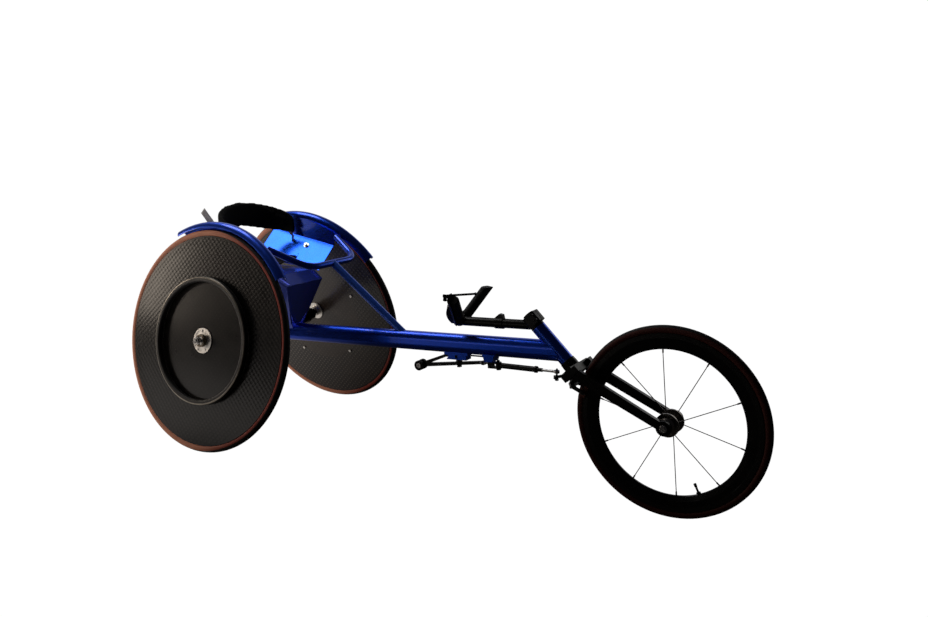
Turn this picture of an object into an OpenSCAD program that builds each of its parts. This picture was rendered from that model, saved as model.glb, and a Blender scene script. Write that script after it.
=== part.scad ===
// Three-wheeled racing wheelchair. Millimetres, +X forward, +Y left, +Z up.
// The origin lies on the ground, in the middle of the chair's length and width.

/* [Rear wheels] */
// Outer radius of the rear tyre
rear_r = 334; // [300:1:345]
// Width of the rear tyre's section
rear_tyre_w = 23; // [19:0.5:28]
// Distance between the rear wheel centres
rear_track = 502; // [470:1:560]
// Lean of each rear wheel, tops inward
camber = 12; // [8:0.5:14]
// Thickness of the rear disc at its rim
disc_rim_w = 19; // [16:0.5:24]
// Thickness of the rear disc at its hub
disc_hub_w = 24; // [20:0.5:32]
// Radius of the rear hub's outer cover
cover_r = 38; // [32:1:45]
// Radius of the rear hub's inner flange
flange_r = 29; // [24:1:36]
// Radius of the push rim's centre line
push_r = 184; // [160:1:215]
// Radial width of the push rim's section
push_w = 16; // [12:0.5:20]
// Depth of the push rim's section
push_h = 18; // [14:0.5:26]
// Length of the spacers between the push rim and the disc
push_gap = 2.5; // [2:0.5:12]
// Bolts that hold a push rim
push_bolts = 5; // [4:1:8]
// Diameter of the rear quick-release axle
rear_axle_d = 12.7; // [12:0.1:15]

/* [Front wheel] */
// Outer radius of the front tyre
front_r = 245; // [225:1:260]
// Width of the front tyre's section
front_tyre_w = 21; // [19:0.5:25]
// Radial depth of the front rim
front_rim_depth = 41; // [25:1:50]
// Width of the front rim at its brake track
front_rim_w = 19; // [17:0.5:21]
// Number of spokes
spokes = 10; // [8:2:20]
// Radius of the front hub's flanges
front_flange_r = 30; // [22:1:34]
// Distance between the faces that clamp the front hub
front_old = 74; // [66:1:100]
// Diameter of the front axle
front_axle_d = 9; // [8:0.5:12]

/* [Frame] */
// Distance between the rear and front axles
wheelbase = 1348; // [1200:1:1450]
// Height of the main beam's section
beam_h = 55; // [48:1:66]
// Width of the main beam's section
beam_w = 42; // [36:1:46]
// Wall of the main beam
beam_wall = 2.5; // [1.5:0.5:4]
// Rise of the main beam towards the front
beam_pitch = 4.15; // [3.5:0.05:4.8]
// Diameter of the camber bar
bar_d = 38; // [32:1:42]
// Half length of the camber bar's straight part
bar_half = 165; // [150:1:172]
// Diameter of the brace tube
brace_d = 22; // [18:0.5:26]
// Diameter of the front loop's tube
loop_d = 20; // [16:0.5:24]
// Thickness of the cage's sheet
sheet = 2.5; // [2:0.5:3]
// Radius of the fender's rounded section
fender_arc = 19; // [17:0.5:26]
// Clearance from the tyre to the fender's edges
fender_gap = 4.5; // [3:0.5:12]

/* [Steering] */
// Angle of the steering axis below the horizontal
head_angle = 43.2; // [40:0.1:46]
// Distance of the front axle from the steering axis
fork_offset = 105; // [96:1:110]
// Distance from the crown race to the front axle, along the steering axis
fork_reach = 268; // [262:1:285]
// Length of the head tube
head_len = 115; // [105:1:130]
// Diameter of the head tube
head_d = 38; // [36:0.5:41]
// Thickness of the fork blades
blade_t = 11; // [8:0.5:14]
// Diameter of the handlebar
bar_tube = 25.4; // [22:0.1:28]
// Length of the handlebar behind the clamp
bar_len = 214; // [190:1:230]
// Half the distance between the grips' tips
grip_spread = 88; // [76:1:110]
// Height of the grips' tips above their roots
grip_rise = 89; // [76:1:105]
// Outer diameter of the grips
grip_d = 28; // [26:0.5:32]

/* [Fits] */
// Radial clearance of a running fit
fit = 0.05; // [0.02:0.01:0.1]
// Clearance between pieces that move past each other
clear = 1; // [0.8:0.1:1.5]
// Clearance between a piece and what it rests against
seat = 0.3; // [0.1:0.1:0.5]
// Radial clearance of a bonded, welded or clamped joint
bond = 0.1; // [0.05:0.05:0.3]

/* [Hidden] */

$fn = 64;
big = 2000;

// Axles and wheel centres
rear_x = -(wheelbase + front_r - rear_r) / 2;
front_x = rear_x + wheelbase;
rear_ring = rear_r - rear_tyre_w / 2;
rear_z = rear_ring * cos(camber) + rear_tyre_w / 2;
wheel_y = rear_track / 2;
rear_bed = rear_ring - rear_tyre_w * 0.38;
front_ring = front_r - front_tyre_w / 2;
front_bed = front_ring - front_tyre_w * 0.38;
front_rim_in = front_bed - front_rim_depth;
front_flange_z = 19;
spoke_first = 26;
valve_angle = -64;
valve_r = 3;

// Rear wheel stack, outward from the wheel's middle plane
sleeve_out = -36;
sleeve_in = -92;
barrel_r = 20;
bearing_r = 14;
bearing_w = 8;
bearing_z = 17;
cover_t = 2.5;
axle_in = -84;
axle_head = 31;
push_z = disc_rim_w / 2 + (disc_hub_w - disc_rim_w) * 0.25 + push_gap;
push_bolt_d = 5;

// Camber bar and main beam
bar_z = rear_z - (wheel_y - bar_half) * tan(camber);
beam_dir = [cos(beam_pitch), 0, sin(beam_pitch)];
beam_up = [-sin(beam_pitch), 0, cos(beam_pitch)];
beam_tail = 32;

// Steering frame: the race point, with its axes along and across the steering axis
axis_up = [-cos(head_angle), 0, sin(head_angle)];
axis_out = [sin(head_angle), 0, cos(head_angle)];
race = [front_x, 0, front_r] + fork_reach * axis_up - fork_offset * axis_out;
cup_h = 8;
race_top = 6;
head_low = race_top + cup_h;
head_top = head_low + head_len;
stem_low = head_top + cup_h;
stem_h = 32;
stem_front = 24;
stem_back = -16;
stem_half = 18;
steerer_d = 25.4;
beam_end = (race.x - rear_x) / cos(beam_pitch) + 10;

// Fork frame: from the front axle towards the crown race
fork_line = atan2(race.z - front_r, race.x - front_x);
fork_len = norm(race - [front_x, 0, front_r]);
blade_y = front_old / 2 + blade_t / 2;
crown_low = 30;
crown_half = blade_y + blade_t / 2 + 2.5;
crown_back = -18;
crown_front = 22;
tyre_room = 6;

// Cage: corners of the right half are mirrored from these left-hand ones
fender_mid = -8;
fender_in_r = rear_r + fender_gap;
fender_side = fender_arc - fender_mid;
fender_front = 37.5;
fender_rear = 117;
crease_front_x = 150;
crease_rear_x = -102;
crease_front_w = 256;
crease_rear_w = 298;
tray_half = 88;
tray_z = 507;
tray_bend_x = 132;
ridge_x = 176;
ridge_z = 480;
keel_half = beam_w / 2 + sheet;

// Loop bar, from fender to fender round the front of the cage
loop_end = [rear_x + 178, wheel_y - 99, 603];
loop_corner = [rear_x + 292, 104, 551];
loop_bend = 60;
brace_slope = 35.5;

// Handlebar and grips
bar_axis_z = 153;
bar_axis_x = -19;
bar_front = race + bar_axis_z * axis_up + bar_axis_x * axis_out;
bar_dir = [-cos(4), 0, -sin(4)];
bar_rear = bar_front + bar_len * bar_dir;
grip_root = bar_rear + [3, 0, -6];
grip_tip = grip_root + [33, grip_spread, grip_rise];
grip_core = 20;
grip_start = 27;
grip_len = norm(grip_tip - grip_root);
function grip_end(s) = grip_len + (s > 0 ? 9 : -12);
function core_end(s) = grip_len - (s > 0 ? 16 : 13);
hood_gap = 2;
hood_t = 2.5;
hood_top = grip_len - 2;
hood_curve = 100;
hood_belly = 12;
hood_wide = 17;
lever_pivot = [0, -grip_d / 2 - hood_gap - hood_t - 4, hood_top - 1];
lever_rise = 14;
lever_pin_r = 2.5;

// Compensator under the beam, along the beam (s) and below its middle (h)
beam_low = -beam_h / 2;
pivot_s = 738;
pin_r = 4;
knob_s = 606;
knob_h = -71.5;
knob_r = 14.5;
lever_rear = [624, -66];
lever_front = [826, -46.7];
lever_t = 8;
head_half = 13;
screw_y = 8.5;
screw_r = 2.6;
screw_reach = 14;
lever_deep = 10.5;
plate_low = -44.5;
damper_s = 877;
damper_y = -20;
damper_h = -47;
damper_eye = [rear_x, damper_y, bar_z] + damper_s * beam_dir + damper_h * beam_up;
rod_end = [rear_x + 1061, -40, 341];
damper_dir = unit(rod_end - damper_eye);
damper_len = norm(rod_end - damper_eye);
damper_rod_r = 3.5;
damper_body_r = 7.5;
eye_w = 8;
eye_ball_r = 5.5;
stud_r = 2.5;
open_gap = 2;

// Brake, in the fork frame
brake_x = 264;
brake_z = 34;
brake_pin_r = 3;
arm_t = 6;
pad_x = 221;
pad_y = front_rim_w / 2 + 1.2;
pad_deep = 6;

function unit(v) = v / norm(v);
function side_of(p, s) = [p.x, s * p.y, p.z];

// A point on the left wheel's plane: forward x, up the wheel w, outward n
function wheel_point(x, w, n) = [
  rear_x + x,
  wheel_y - w * sin(camber) + n * cos(camber),
  rear_z + w * cos(camber) + n * sin(camber)
];

// Right grip: its direction, the level line across it, and the lever's bend
grip_u = unit(side_of(grip_tip - grip_root, -1));
grip_v = unit([-grip_u.y, grip_u.x, 0]);
lever_knee = grip_root + (lever_pivot.z + lever_rise) * grip_u + lever_pivot.y * grip_v;

crease_front = wheel_point(crease_front_x, crease_front_w, -fender_side);
crease_rear = wheel_point(crease_rear_x, crease_rear_w, -fender_side);
floor_front = [rear_x + 155, tray_half, tray_z - 4];
floor_rear = [rear_x + crease_rear_x, tray_half, tray_z - 4];

// Left side panel's own axes: along the crease, down the sheet, and outward
panel_u = unit(crease_front - crease_rear);
panel_n = unit(cross(panel_u, floor_front - crease_rear));
panel_v = cross(panel_n, panel_u);

module on_wheel(side) {
  mirror([0, side > 0 ? 1 : 0, 0])
    translate([rear_x, -wheel_y, rear_z])
      rotate([90 - camber, 0, 0]) children();
}

module on_beam(s, h = 0) {
  translate([rear_x, 0, bar_z] + s * beam_dir + h * beam_up)
    rotate([0, -beam_pitch, 0]) children();
}

module on_steer() {
  translate(race) rotate([0, head_angle - 90, 0]) children();
}

module on_fork() {
  translate([front_x, 0, front_r]) rotate([0, -fork_line, 0]) children();
}

module on_front() {
  translate([front_x, 0, front_r]) rotate([90, 0, 0]) children();
}

module flip(side) {
  mirror([0, side > 0 ? 0 : 1, 0]) children();
}

// Local Z runs from a to b
module along(a, b) {
  v = b - a;
  translate(a) rotate([0, acos(v.z / norm(v)), atan2(v.y, v.x)]) children();
}

module rod(a, b, r) {
  along(a, b) cylinder(h = norm(b - a), r = r);
}

module on_grip(s) {
  along(grip_root, side_of(grip_tip, s)) children();
}

// Local Z runs along the damper from its rear eye
module on_damper() {
  along(damper_eye, rod_end) children();
}

// Axes whose columns are u, v and n, placed at p
module frame_at(p, u, v, n) {
  multmatrix([
    [u.x, v.x, n.x, p.x],
    [u.y, v.y, n.y, p.y],
    [u.z, v.z, n.z, p.z],
    [0, 0, 0, 1]
  ]) children();
}

// A flat sheet with these corners, thickened along the normal of the first three;
// children are cut out, drawn in the sheet's own plane from its first corner
module plate(p, t) {
  u = unit(p[1] - p[0]);
  n = unit(cross(u, p[2] - p[0]));
  v = cross(n, u);
  frame_at(p[0], u, v, n)
    difference() {
      linear_extrude(t) polygon([for (q = p) [(q - p[0]) * u, (q - p[0]) * v]]);
      children();
    }
}

// A closed skin over a row of rings that have equal, even numbers of points
module skin(rings) {
  n = len(rings);
  m = len(rings[0]);
  faces = concat(
    [for (i = [0:n - 2], j = [0:m - 1]) [i * m + j, i * m + (j + 1) % m, (i + 1) * m + j]],
    [for (i = [0:n - 2], j = [0:m - 1])
      [i * m + (j + 1) % m, (i + 1) * m + (j + 1) % m, (i + 1) * m + j]],
    [for (j = [0:m / 2 - 2]) each [[m - 1 - j, j + 1, j], [m - 1 - j, m - 2 - j, j + 1]]],
    [for (j = [0:m / 2 - 2]) each [
      [(n - 1) * m + j, (n - 1) * m + j + 1, n * m - 1 - j],
      [(n - 1) * m + j + 1, n * m - 2 - j, n * m - 1 - j]]]
  );
  polyhedron([for (ring = rings) each ring], faces, convexity = 6);
}

// A rectangle with round corners
module round_rect(w, h, r) {
  difference() {
    square([w, h], center = true);
    for (x = [-1, 1], y = [-1, 1]) translate([x * w / 2, y * h / 2]) square(2 * r, center = true);
  }
  for (x = [-1, 1], y = [-1, 1]) translate([x * (w / 2 - r), y * (h / 2 - r)]) circle(r);
}

// Frame

module stadium(w, h) {
  translate([-w / 2, -(h - w) / 2]) square([w, h - w]);
  for (s = [-1, 1]) translate([0, s * (h - w) / 2]) circle(d = w);
}

module beam_outer(s0, s1, grow = 0) {
  on_beam(s0) rotate([90, 0, 90])
    linear_extrude(s1 - s0) stadium(beam_w + 2 * grow, beam_h + 2 * grow);
}

module main_beam() {
  color("mediumblue")
    difference() {
      beam_outer(-beam_tail, beam_end);
      on_beam(-beam_tail + 3) rotate([90, 0, 90])
        linear_extrude(beam_end + beam_tail)
          stadium(beam_w - 2 * beam_wall, beam_h - 2 * beam_wall);
      translate([rear_x, 0, bar_z]) rotate([90, 0, 0])
        cylinder(h = beam_w + 2, d = bar_d + 2 * bond, center = true);
      on_steer() translate([0, 0, -100]) cylinder(h = 400, d = head_d + 2 * bond);
      on_steer() translate([0, -60, -100]) cube([200, 120, 400]);
    }
}

module head_tube() {
  color("mediumblue")
    on_steer() translate([0, 0, head_low])
      difference() {
        cylinder(h = head_len, d = head_d);
        translate([0, 0, -1]) cylinder(h = head_len + 2, d = head_d - 6);
      }
}

// The loop lies in one sloping plane: centre line as points [along, across, heading]
loop_mid = [loop_end.x, 0, loop_end.z];
loop_u = unit([loop_corner.x, 0, loop_corner.z] - loop_mid);
loop_n = cross(loop_u, [0, 1, 0]);
loop_long = norm([loop_corner.x, 0, loop_corner.z] - loop_mid);
loop_turn = 90 - atan2(loop_end.y - loop_corner.y, loop_long);
loop_heading = 90 - loop_turn;
loop_back = loop_bend * tan(loop_turn / 2);
loop_steps = 8;
loop_start = [loop_long, loop_corner.y]
  - loop_back * [cos(loop_heading), -sin(loop_heading)];
loop_centre = loop_start - loop_bend * [sin(loop_heading), cos(loop_heading)];
function loop_arc(i) =
  let (h = loop_heading + loop_turn * i / loop_steps)
  [loop_centre.x + loop_bend * sin(h), loop_centre.y + loop_bend * cos(h), h];
loop_half = concat([[0, loop_end.y, loop_heading]], [for (i = [0:loop_steps]) loop_arc(i)]);
loop_path = concat(loop_half,
  [for (i = [loop_steps + 1:-1:0])
    [loop_half[i].x, -loop_half[i].y, 180 - loop_half[i][2]]]);
function loop_ring(p, sides) =
  let (across = sin(p[2]) * loop_u + [0, cos(p[2]), 0])
  [for (j = [0:sides - 1]) loop_mid + p.x * loop_u + [0, p.y, 0]
    + loop_d / 2 * (cos(360 * j / sides) * across - sin(360 * j / sides) * loop_n)];

module loop_bar() {
  color("mediumblue") skin([for (p = loop_path) loop_ring(p, 24)]);
}

module brace_tube() {
  tip = [loop_corner.x, 0, loop_corner.z];
  color("mediumblue")
    difference() {
      translate(tip) rotate([0, 90 + brace_slope, 0]) cylinder(h = 330, d = brace_d);
      translate(tip) rotate([90, 0, 0])
        cylinder(h = 60, d = loop_d + 2 * bond, center = true);
      beam_outer(0, 700, bond);
      on_beam(0, -150) translate([0, -30, 0]) cube([700, 60, 150]);
    }
}

module camber_bar() {
  color("royalblue")
    difference() {
      translate([rear_x, 0, bar_z]) rotate([90, 0, 0])
        cylinder(h = 2 * bar_half, d = bar_d, center = true);
      translate([rear_x, 0, bar_z]) rotate([90, 0, 0])
        cylinder(h = 2 * bar_half + 2, d = bar_d - 6, center = true);
      for (s = [-1, 1]) on_wheel(s) translate([0, 0, sleeve_in]) cylinder(h = 60, d = bar_d + 1);
    }
}

// Cambered receivers at the ends of the bar, bored for the quick-release axles
module camber_sleeves() {
  color("black")
    for (s = [-1, 1]) on_wheel(s)
      difference() {
        union() {
          translate([0, 0, sleeve_in]) cylinder(h = sleeve_out - sleeve_in, d = bar_d - 2);
          translate([0, 0, -72]) cylinder(h = 10, d = bar_d + 6);
          translate([0, 0, sleeve_out - 7]) cylinder(h = 4, d = bar_d + 2);
        }
        translate([0, 0, sleeve_in - 1])
          cylinder(h = sleeve_out - sleeve_in + 2, d = rear_axle_d + 2 * bond);
      }
}

module rear_axle(side) {
  color("silver")
    on_wheel(side) {
      difference() {
        union() {
          translate([0, 0, axle_in]) cylinder(h = axle_head - axle_in, d = rear_axle_d);
          translate([0, 0, axle_head]) cylinder(h = 6, r = 12);
          translate([0, 0, axle_head + 6]) cylinder(h = 4, r = 9.5);
        }
        translate([0, 0, axle_head + 4]) cylinder(h = 8, r = 6);
      }
      translate([0, 0, axle_head + 4]) cylinder(h = 8, r = 4.5);
    }
}
module rear_axle_right() { rear_axle(-1); }
module rear_axle_left() { rear_axle(1); }

// Fender: a curved channel round the tyre with a flat inner wall below it
module fender_section() {
  translate([fender_in_r, fender_mid])
    difference() {
      circle(fender_arc);
      circle(fender_arc - sheet);
      translate([-2 * fender_arc, -2 * fender_arc])
        square([2 * fender_arc, 4 * fender_arc]);
    }
}

module fender(side) {
  color("mediumblue")
    on_wheel(side) {
      rotate([0, 0, fender_front])
        rotate_extrude(angle = fender_rear - fender_front) fender_section();
      translate([0, 0, -fender_side])
        linear_extrude(sheet)
          intersection() {
            circle(fender_in_r);
            polygon([
              [crease_front_x, crease_front_w], [crease_front_x + 25, fender_in_r],
              [crease_rear_x - 18, fender_in_r], [crease_rear_x, crease_rear_w]
            ]);
          }
    }
}
module fender_right() { fender(-1); }
module fender_left() { fender(1); }

// Sheet that slopes from a fender's inner wall to the floor
strap_slot = [94.5, 18];
slot_len = 32;
slot_w = 6;
slot_lean = 34;
adjust_hole = [161.5, 30];
bolt_hole_r = 3.2;

module panel_plate(s, t) {
  flip(s)
    plate([crease_rear, crease_front, floor_front, floor_rear], t) children();
}

module panel_cuts() {
  translate([strap_slot.x, strap_slot.y, -50]) rotate([0, 0, -slot_lean])
    linear_extrude(100) stadium(slot_w, slot_len);
  translate([adjust_hole.x, adjust_hole.y, -50]) cylinder(h = 100, r = bolt_hole_r);
}

module side_panel(s) {
  color("blue") panel_plate(s, sheet) panel_cuts();
}
module side_panel_right() { side_panel(-1); }
module side_panel_left() { side_panel(1); }

// Floor that carries the knees, with its bent front down to the beam
function beam_top(x) = bar_z + x * tan(beam_pitch) + beam_h / 2 / cos(beam_pitch) + seat;
tray_foot_x = 136;

module tray_profile() {
  polygon([
    [crease_rear_x, tray_z], [tray_bend_x, tray_z], [ridge_x, ridge_z],
    [tray_foot_x, beam_top(tray_foot_x)],
    [tray_foot_x - sheet * 1.1, beam_top(tray_foot_x - sheet)],
    [ridge_x - sheet * 1.2, ridge_z], [tray_bend_x - 1, tray_z - sheet],
    [crease_rear_x, tray_z - sheet]
  ]);
}

module knee_tray() {
  color("mediumblue")
    difference() {
      intersection() {
        translate([rear_x, 120, 0]) rotate([90, 0, 0]) linear_extrude(240) tray_profile();
        translate([-big, 0, 0]) rotate([90, 0, 90]) linear_extrude(2 * big)
          polygon([
            [-tray_half, tray_z + 1], [tray_half, tray_z + 1], [80, ridge_z],
            [keel_half, 330], [-keel_half, 330], [-80, ridge_z]
          ]);
      }
      for (s = [-1, 1]) panel_plate(s, 20);
      for (s = [-1, 1]) keel_plate(s, 20);
    }
}

// Plates from the floor's edges down to the sides of the beam
module keel_plate(s, t) {
  flip(s)
    plate([
      [rear_x - 40, keel_half - sheet, beam_top(-40) - 14],
      [rear_x + tray_foot_x - 2, keel_half - sheet, beam_top(tray_foot_x - 2) - 14],
      [rear_x + ridge_x - 4, 80, ridge_z - 1],
      [rear_x + tray_bend_x - 2, tray_half - 2, tray_z - sheet],
      [rear_x - 70, tray_half - 2, tray_z - sheet]
    ], t);
}

module keel_plates() {
  color("mediumblue")
    for (s = [-1, 1])
      difference() {
        keel_plate(s, sheet);
        beam_outer(-100, 400, bond);
        translate([rear_x, 0, bar_z]) rotate([90, 0, 0])
          cylinder(h = 400, d = bar_d + 2 * seat, center = true);
      }
}

// Adjusting bolts in the side panels, each with a washer, head and nut
module cage_bolts() {
  color("silver")
    for (s = [-1, 1]) flip(s)
      frame_at(crease_rear, panel_u, panel_v, panel_n) translate([adjust_hole.x, adjust_hole.y, 0]) {
        translate([0, 0, -4]) cylinder(h = sheet + 14, r = bolt_hole_r - 0.2);
        translate([0, 0, -1.5])
          difference() {
            cylinder(h = 1.5, r = 9);
            translate([0, 0, -1]) cylinder(h = 4, r = bolt_hole_r - 0.2);
          }
        translate([0, 0, sheet])
          difference() {
            cylinder(h = 5, r = 5.5, $fn = 6);
            translate([0, 0, -1]) cylinder(h = 8, r = bolt_hole_r - 0.2);
          }
        translate([0, 0, -8]) cylinder(h = 4, r = 5);
      }
}

// Soft pieces

// Sagging seat between the side panels, one closed quilted sheet
sling_nx = 10;
sling_ny = 18;
sling_len = 150;
sling_t = 7;
function sling_z(u, v) = 516 + 22 * pow(v, 2) + 4 * pow(2 * u - 1, 2);
function sling_point(i, j, top) =
  let (u = i / sling_nx, v = 2 * j / sling_ny - 1, x = rear_x - 100 + u * sling_len)
  let (puff = sin(180 * u) * (1 - pow(v, 4)))
  let (z = sling_z(u, v) + (top ? sling_t / 2 + 3 * puff : -sling_t / 2))
  [x, v * panel_y(x, z), z];

// Across position of the side panels' inner face, less the seating clearance
function panel_y(x, z) = crease_rear.y
  - (seat + panel_n.x * (x - crease_rear.x) + panel_n.z * (z - crease_rear.z)) / panel_n.y;

module seat_sling() {
  color("black")
    skin([for (i = [0:sling_nx]) concat(
      [for (j = [sling_ny:-1:0]) sling_point(i, j, true)],
      [for (j = [0:sling_ny]) sling_point(i, j, false)])]);
}

// Padded back: a band that curves round behind the seat, higher in the middle
back_n = 36;
back_m = 14;
back_half = 137;
back_deep = 92;
back_t = 17;
function back_top(a) = 652 + 64 * pow(max(cos(a), 0), 0.65);
function back_low(a) = 605 + 30 * max(cos(a), 0) - 11 * abs(sin(2 * a));
function back_point(i, j) =
  let (a = -90 + 180 * i / back_n, q = 360 * j / back_m)
  let (mid = (back_top(a) + back_low(a)) / 2, half = (back_top(a) - back_low(a)) / 2)
  let (fat = back_t / 2 * (0.62 + 0.38 * pow(max(cos(a), 0), 0.5)))
  let (off = fat * sign(cos(q)) * pow(abs(cos(q)), 0.7))
  let (rise = half * sign(sin(q)) * pow(abs(sin(q)), 0.8))
  let (lean = -0.12 * rise)
  let (lap = 14 * pow(abs(sin(a)), 8))
  [rear_x - 2 + lap - (back_deep + off - lean) * cos(a), (back_half + off) * sin(a), mid + rise];

module back_upholstery() {
  color("black")
    skin([for (i = [0:back_n]) [for (j = [0:back_m - 1]) back_point(i, j)]]);
}

// Webbing from the ends of the back through the panels' slots, and one loose tail
strap_w = 24;
strap_t = 1.6;
strap_steps = 10;
tail_w = 20;
tail_len = 124;
tail_lean = 52;
function strap_ring(c, across, face) =
  [for (q = [[1, 1], [1, -1], [-1, -1], [-1, 1]])
    c + q[0] * strap_w / 2 * across + q[1] * strap_t / 2 * face];

module back_straps() {
  slot_dir = sin(slot_lean) * panel_u + cos(slot_lean) * panel_v;
  slot_mid = crease_rear + strap_slot.x * panel_u + strap_slot.y * panel_v
    + (slot_w / 2 - strap_t - 2 * bond) * cross(panel_n, slot_dir);
  fall = unit(slot_dir.z * slot_dir - [0, 0, 1]);
  side = back_half + back_t * 0.3 + strap_t / 2;
  top = [rear_x - 16, side, 622];
  bend = top + [0, 5, -6];
  low = slot_mid - 4 * fall;
  turn = low - 6 * fall;
  function bezier(t) = pow(1 - t, 3) * top + 3 * t * pow(1 - t, 2) * bend
    + 3 * t * t * (1 - t) * turn + pow(t, 3) * low;
  function heading(t) = unit(pow(1 - t, 2) * (bend - top) + 2 * t * (1 - t) * (turn - bend)
    + t * t * (low - turn));
  function across(t) =
    let (w = pow(t, 1.4), v = (1 - w) * [1, 0, 0] + w * slot_dir)
    unit(v - (v * heading(t)) * heading(t));
  color("dimgray") {
    for (s = [-1, 1]) flip(s)
      skin([
        strap_ring([rear_x - 16, side, 640], [1, 0, 0], [0, -1, 0]),
        for (i = [0:strap_steps])
          let (t = i / strap_steps)
          strap_ring(bezier(t), across(t), cross(heading(t), across(t))),
        strap_ring(slot_mid + 16 * fall, slot_dir, cross(fall, slot_dir))
      ]);
    on_wheel(-1) translate([-8, crease_rear_w + 6, -fender_side - seat - strap_t])
      rotate([0, 0, tail_lean]) cube([tail_w, tail_len, strap_t]);
  }
}

// Headset

module headset_ring(z, h, outer) {
  translate([0, 0, z])
    difference() {
      cylinder(h = h, d = outer);
      translate([0, 0, -1]) cylinder(h = h + 2, d = steerer_d + 2 * fit);
    }
}

module headset() {
  color("dimgray")
    on_steer() {
      headset_ring(race_top, cup_h, head_d + 3);
      headset_ring(head_top, cup_h - clear, head_d);
      headset_ring(head_low, 9, head_d - 6);
      headset_ring(head_top - 9, 9, head_d - 6);
    }
}

// Compensator: brackets on the beam, trim lever and centring damper

module pin_bore(r) {
  on_beam(pivot_s) translate([0, 0, -90]) cylinder(h = 90, r = r);
}

module compensator_brackets() {
  color("mediumblue") {
    difference() {
      on_beam(pivot_s) {
        translate([-40, -13, beam_low - 4]) cube([77, 26, 12]);
        translate([27, -13, plate_low]) cube([5, 26, beam_low - 4 - plate_low]);
        translate([-32, -13, plate_low]) cube([60, 26, 3.5]);
        for (x = [-28, 5], y = [-13, 10.4]) translate([x, y, plate_low])
          cube([24, 2.6, beam_low - plate_low]);
      }
      beam_outer(500, 1000, bond);
      pin_bore(pin_r + bond);
    }
    difference() {
      on_beam(848) translate([0, damper_y + 25, 0]) rotate([90, 0, 0])
        linear_extrude(34)
          polygon([
            [-9, beam_low - 11], [15, beam_low - 11], [22, beam_low + 9], [-17, beam_low + 9]
          ]);
      beam_outer(500, 1000, bond);
    }
  }
}

// Clevis for the damper's rear eye, and the tie between the two brackets
module damper_clevis() {
  lug = eye_w / 2 + 0.5;
  color("black") {
    on_beam(damper_s, damper_h) translate([0, damper_y, 0])
      difference() {
        union() {
          for (z = [-lug - 4, lug]) translate([0, 0, z]) {
            cylinder(h = z > 0 ? 3.9 : 4, r = 9);
            translate([-29, -9, 0]) cube([29, 18, z > 0 ? 3.9 : 4]);
          }
          translate([-29, -9, -lug - 4]) cube([12, 18, 2 * lug + 7.9]);
        }
        translate([0, 0, -30]) cylinder(h = 60, r = pin_r);
      }
    on_beam(pivot_s + 32.3) translate([0, 10, -35])
      rotate([0, 90, 0]) cylinder(h = 848 - 20 - pivot_s - 32.6, r = 2.2);
  }
}

function lever_h(s) =
  lever_rear[1] + (s - lever_rear[0]) * (lever_front[1] - lever_rear[1])
  / (lever_front[0] - lever_rear[0]);

module track_lever() {
  up = lever_deep / 2;
  leg_top = -37;
  color("black")
    difference() {
      on_beam(0) {
        rotate([90, 0, 0]) linear_extrude(lever_t, center = true)
          polygon([
            [knob_s, knob_h - up], [lever_front[0], lever_front[1] - up],
            [lever_front[0], lever_front[1] + up - 2], [knob_s, knob_h + up]
          ]);
        rotate([90, 0, 0]) linear_extrude(lever_t, center = true)
          polygon([
            [knob_s, knob_h - 1], [knob_s + 10, knob_h - 1], [698, leg_top - 3.5],
            [pivot_s, leg_top - 3.5], [pivot_s, leg_top + 3.5], [694, leg_top + 3.5],
            [knob_s - 4, knob_h + up]
          ]);
        translate([knob_s, 0, knob_h]) rotate([90, 0, 0])
          cylinder(h = lever_t, r = 9, center = true);
        translate([pivot_s, 0, leg_top - 3.5]) cylinder(h = 7, r = 9.5);
        translate([pivot_s, 0, lever_h(pivot_s) - up]) cylinder(h = lever_deep, r = 9.5);
        translate([lever_front[0] - 8, -head_half, lever_front[1] - up - 1])
          cube([8, 2 * head_half, lever_deep]);
      }
      for (y = [-screw_y, screw_y]) on_beam(lever_front[0] - 30, lever_front[1] - 1)
        translate([0, y, 0]) rotate([0, 90, 0]) cylinder(h = 60, r = screw_r + bond);
      pin_bore(pin_r + fit);
      on_beam(knob_s, knob_h) rotate([90, 0, 0]) cylinder(h = 60, r = 3, center = true);
    }
}

// Two rubber halves on the lever's rear end, for the rider's hand
module lever_knob() {
  color("black")
    on_beam(knob_s, knob_h) rotate([90, 0, 0])
      for (m = [0, 1]) mirror([0, 0, m]) translate([0, 0, lever_t / 2 + seat])
        difference() {
          cylinder(h = 9, r = knob_r);
          translate([0, 0, -1]) cylinder(h = 12, r = 3);
          translate([0, 0, 7]) cylinder(h = 12, r = 8);
        }
}

// Knob bolt with its washers, and the two trim screws in the lever's front end
module lever_screws() {
  color("silver") {
    on_beam(knob_s, knob_h) rotate([90, 0, 0]) {
      cylinder(h = 2 * (lever_t / 2 + seat + 7) + 1, r = 3, center = true);
      for (m = [0, 1]) mirror([0, 0, m]) translate([0, 0, lever_t / 2 + seat + 7.5])
        difference() {
          cylinder(h = 1.5, r = 7);
          cylinder(h = 5, r = 3, center = true);
        }
    }
    for (y = [-screw_y, screw_y]) on_beam(lever_front[0], lever_front[1] - 1)
      translate([0, y, 0]) rotate([0, 90, 0]) {
        translate([0, 0, -15]) cylinder(h = 15 + screw_reach, r = screw_r);
        translate([0, 0, bond]) cylinder(h = 4, r = 4.4, $fn = 6);
        translate([0, 0, screw_reach]) cylinder(h = 2, r = screw_r + 1.2);
      }
  }
}

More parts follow.
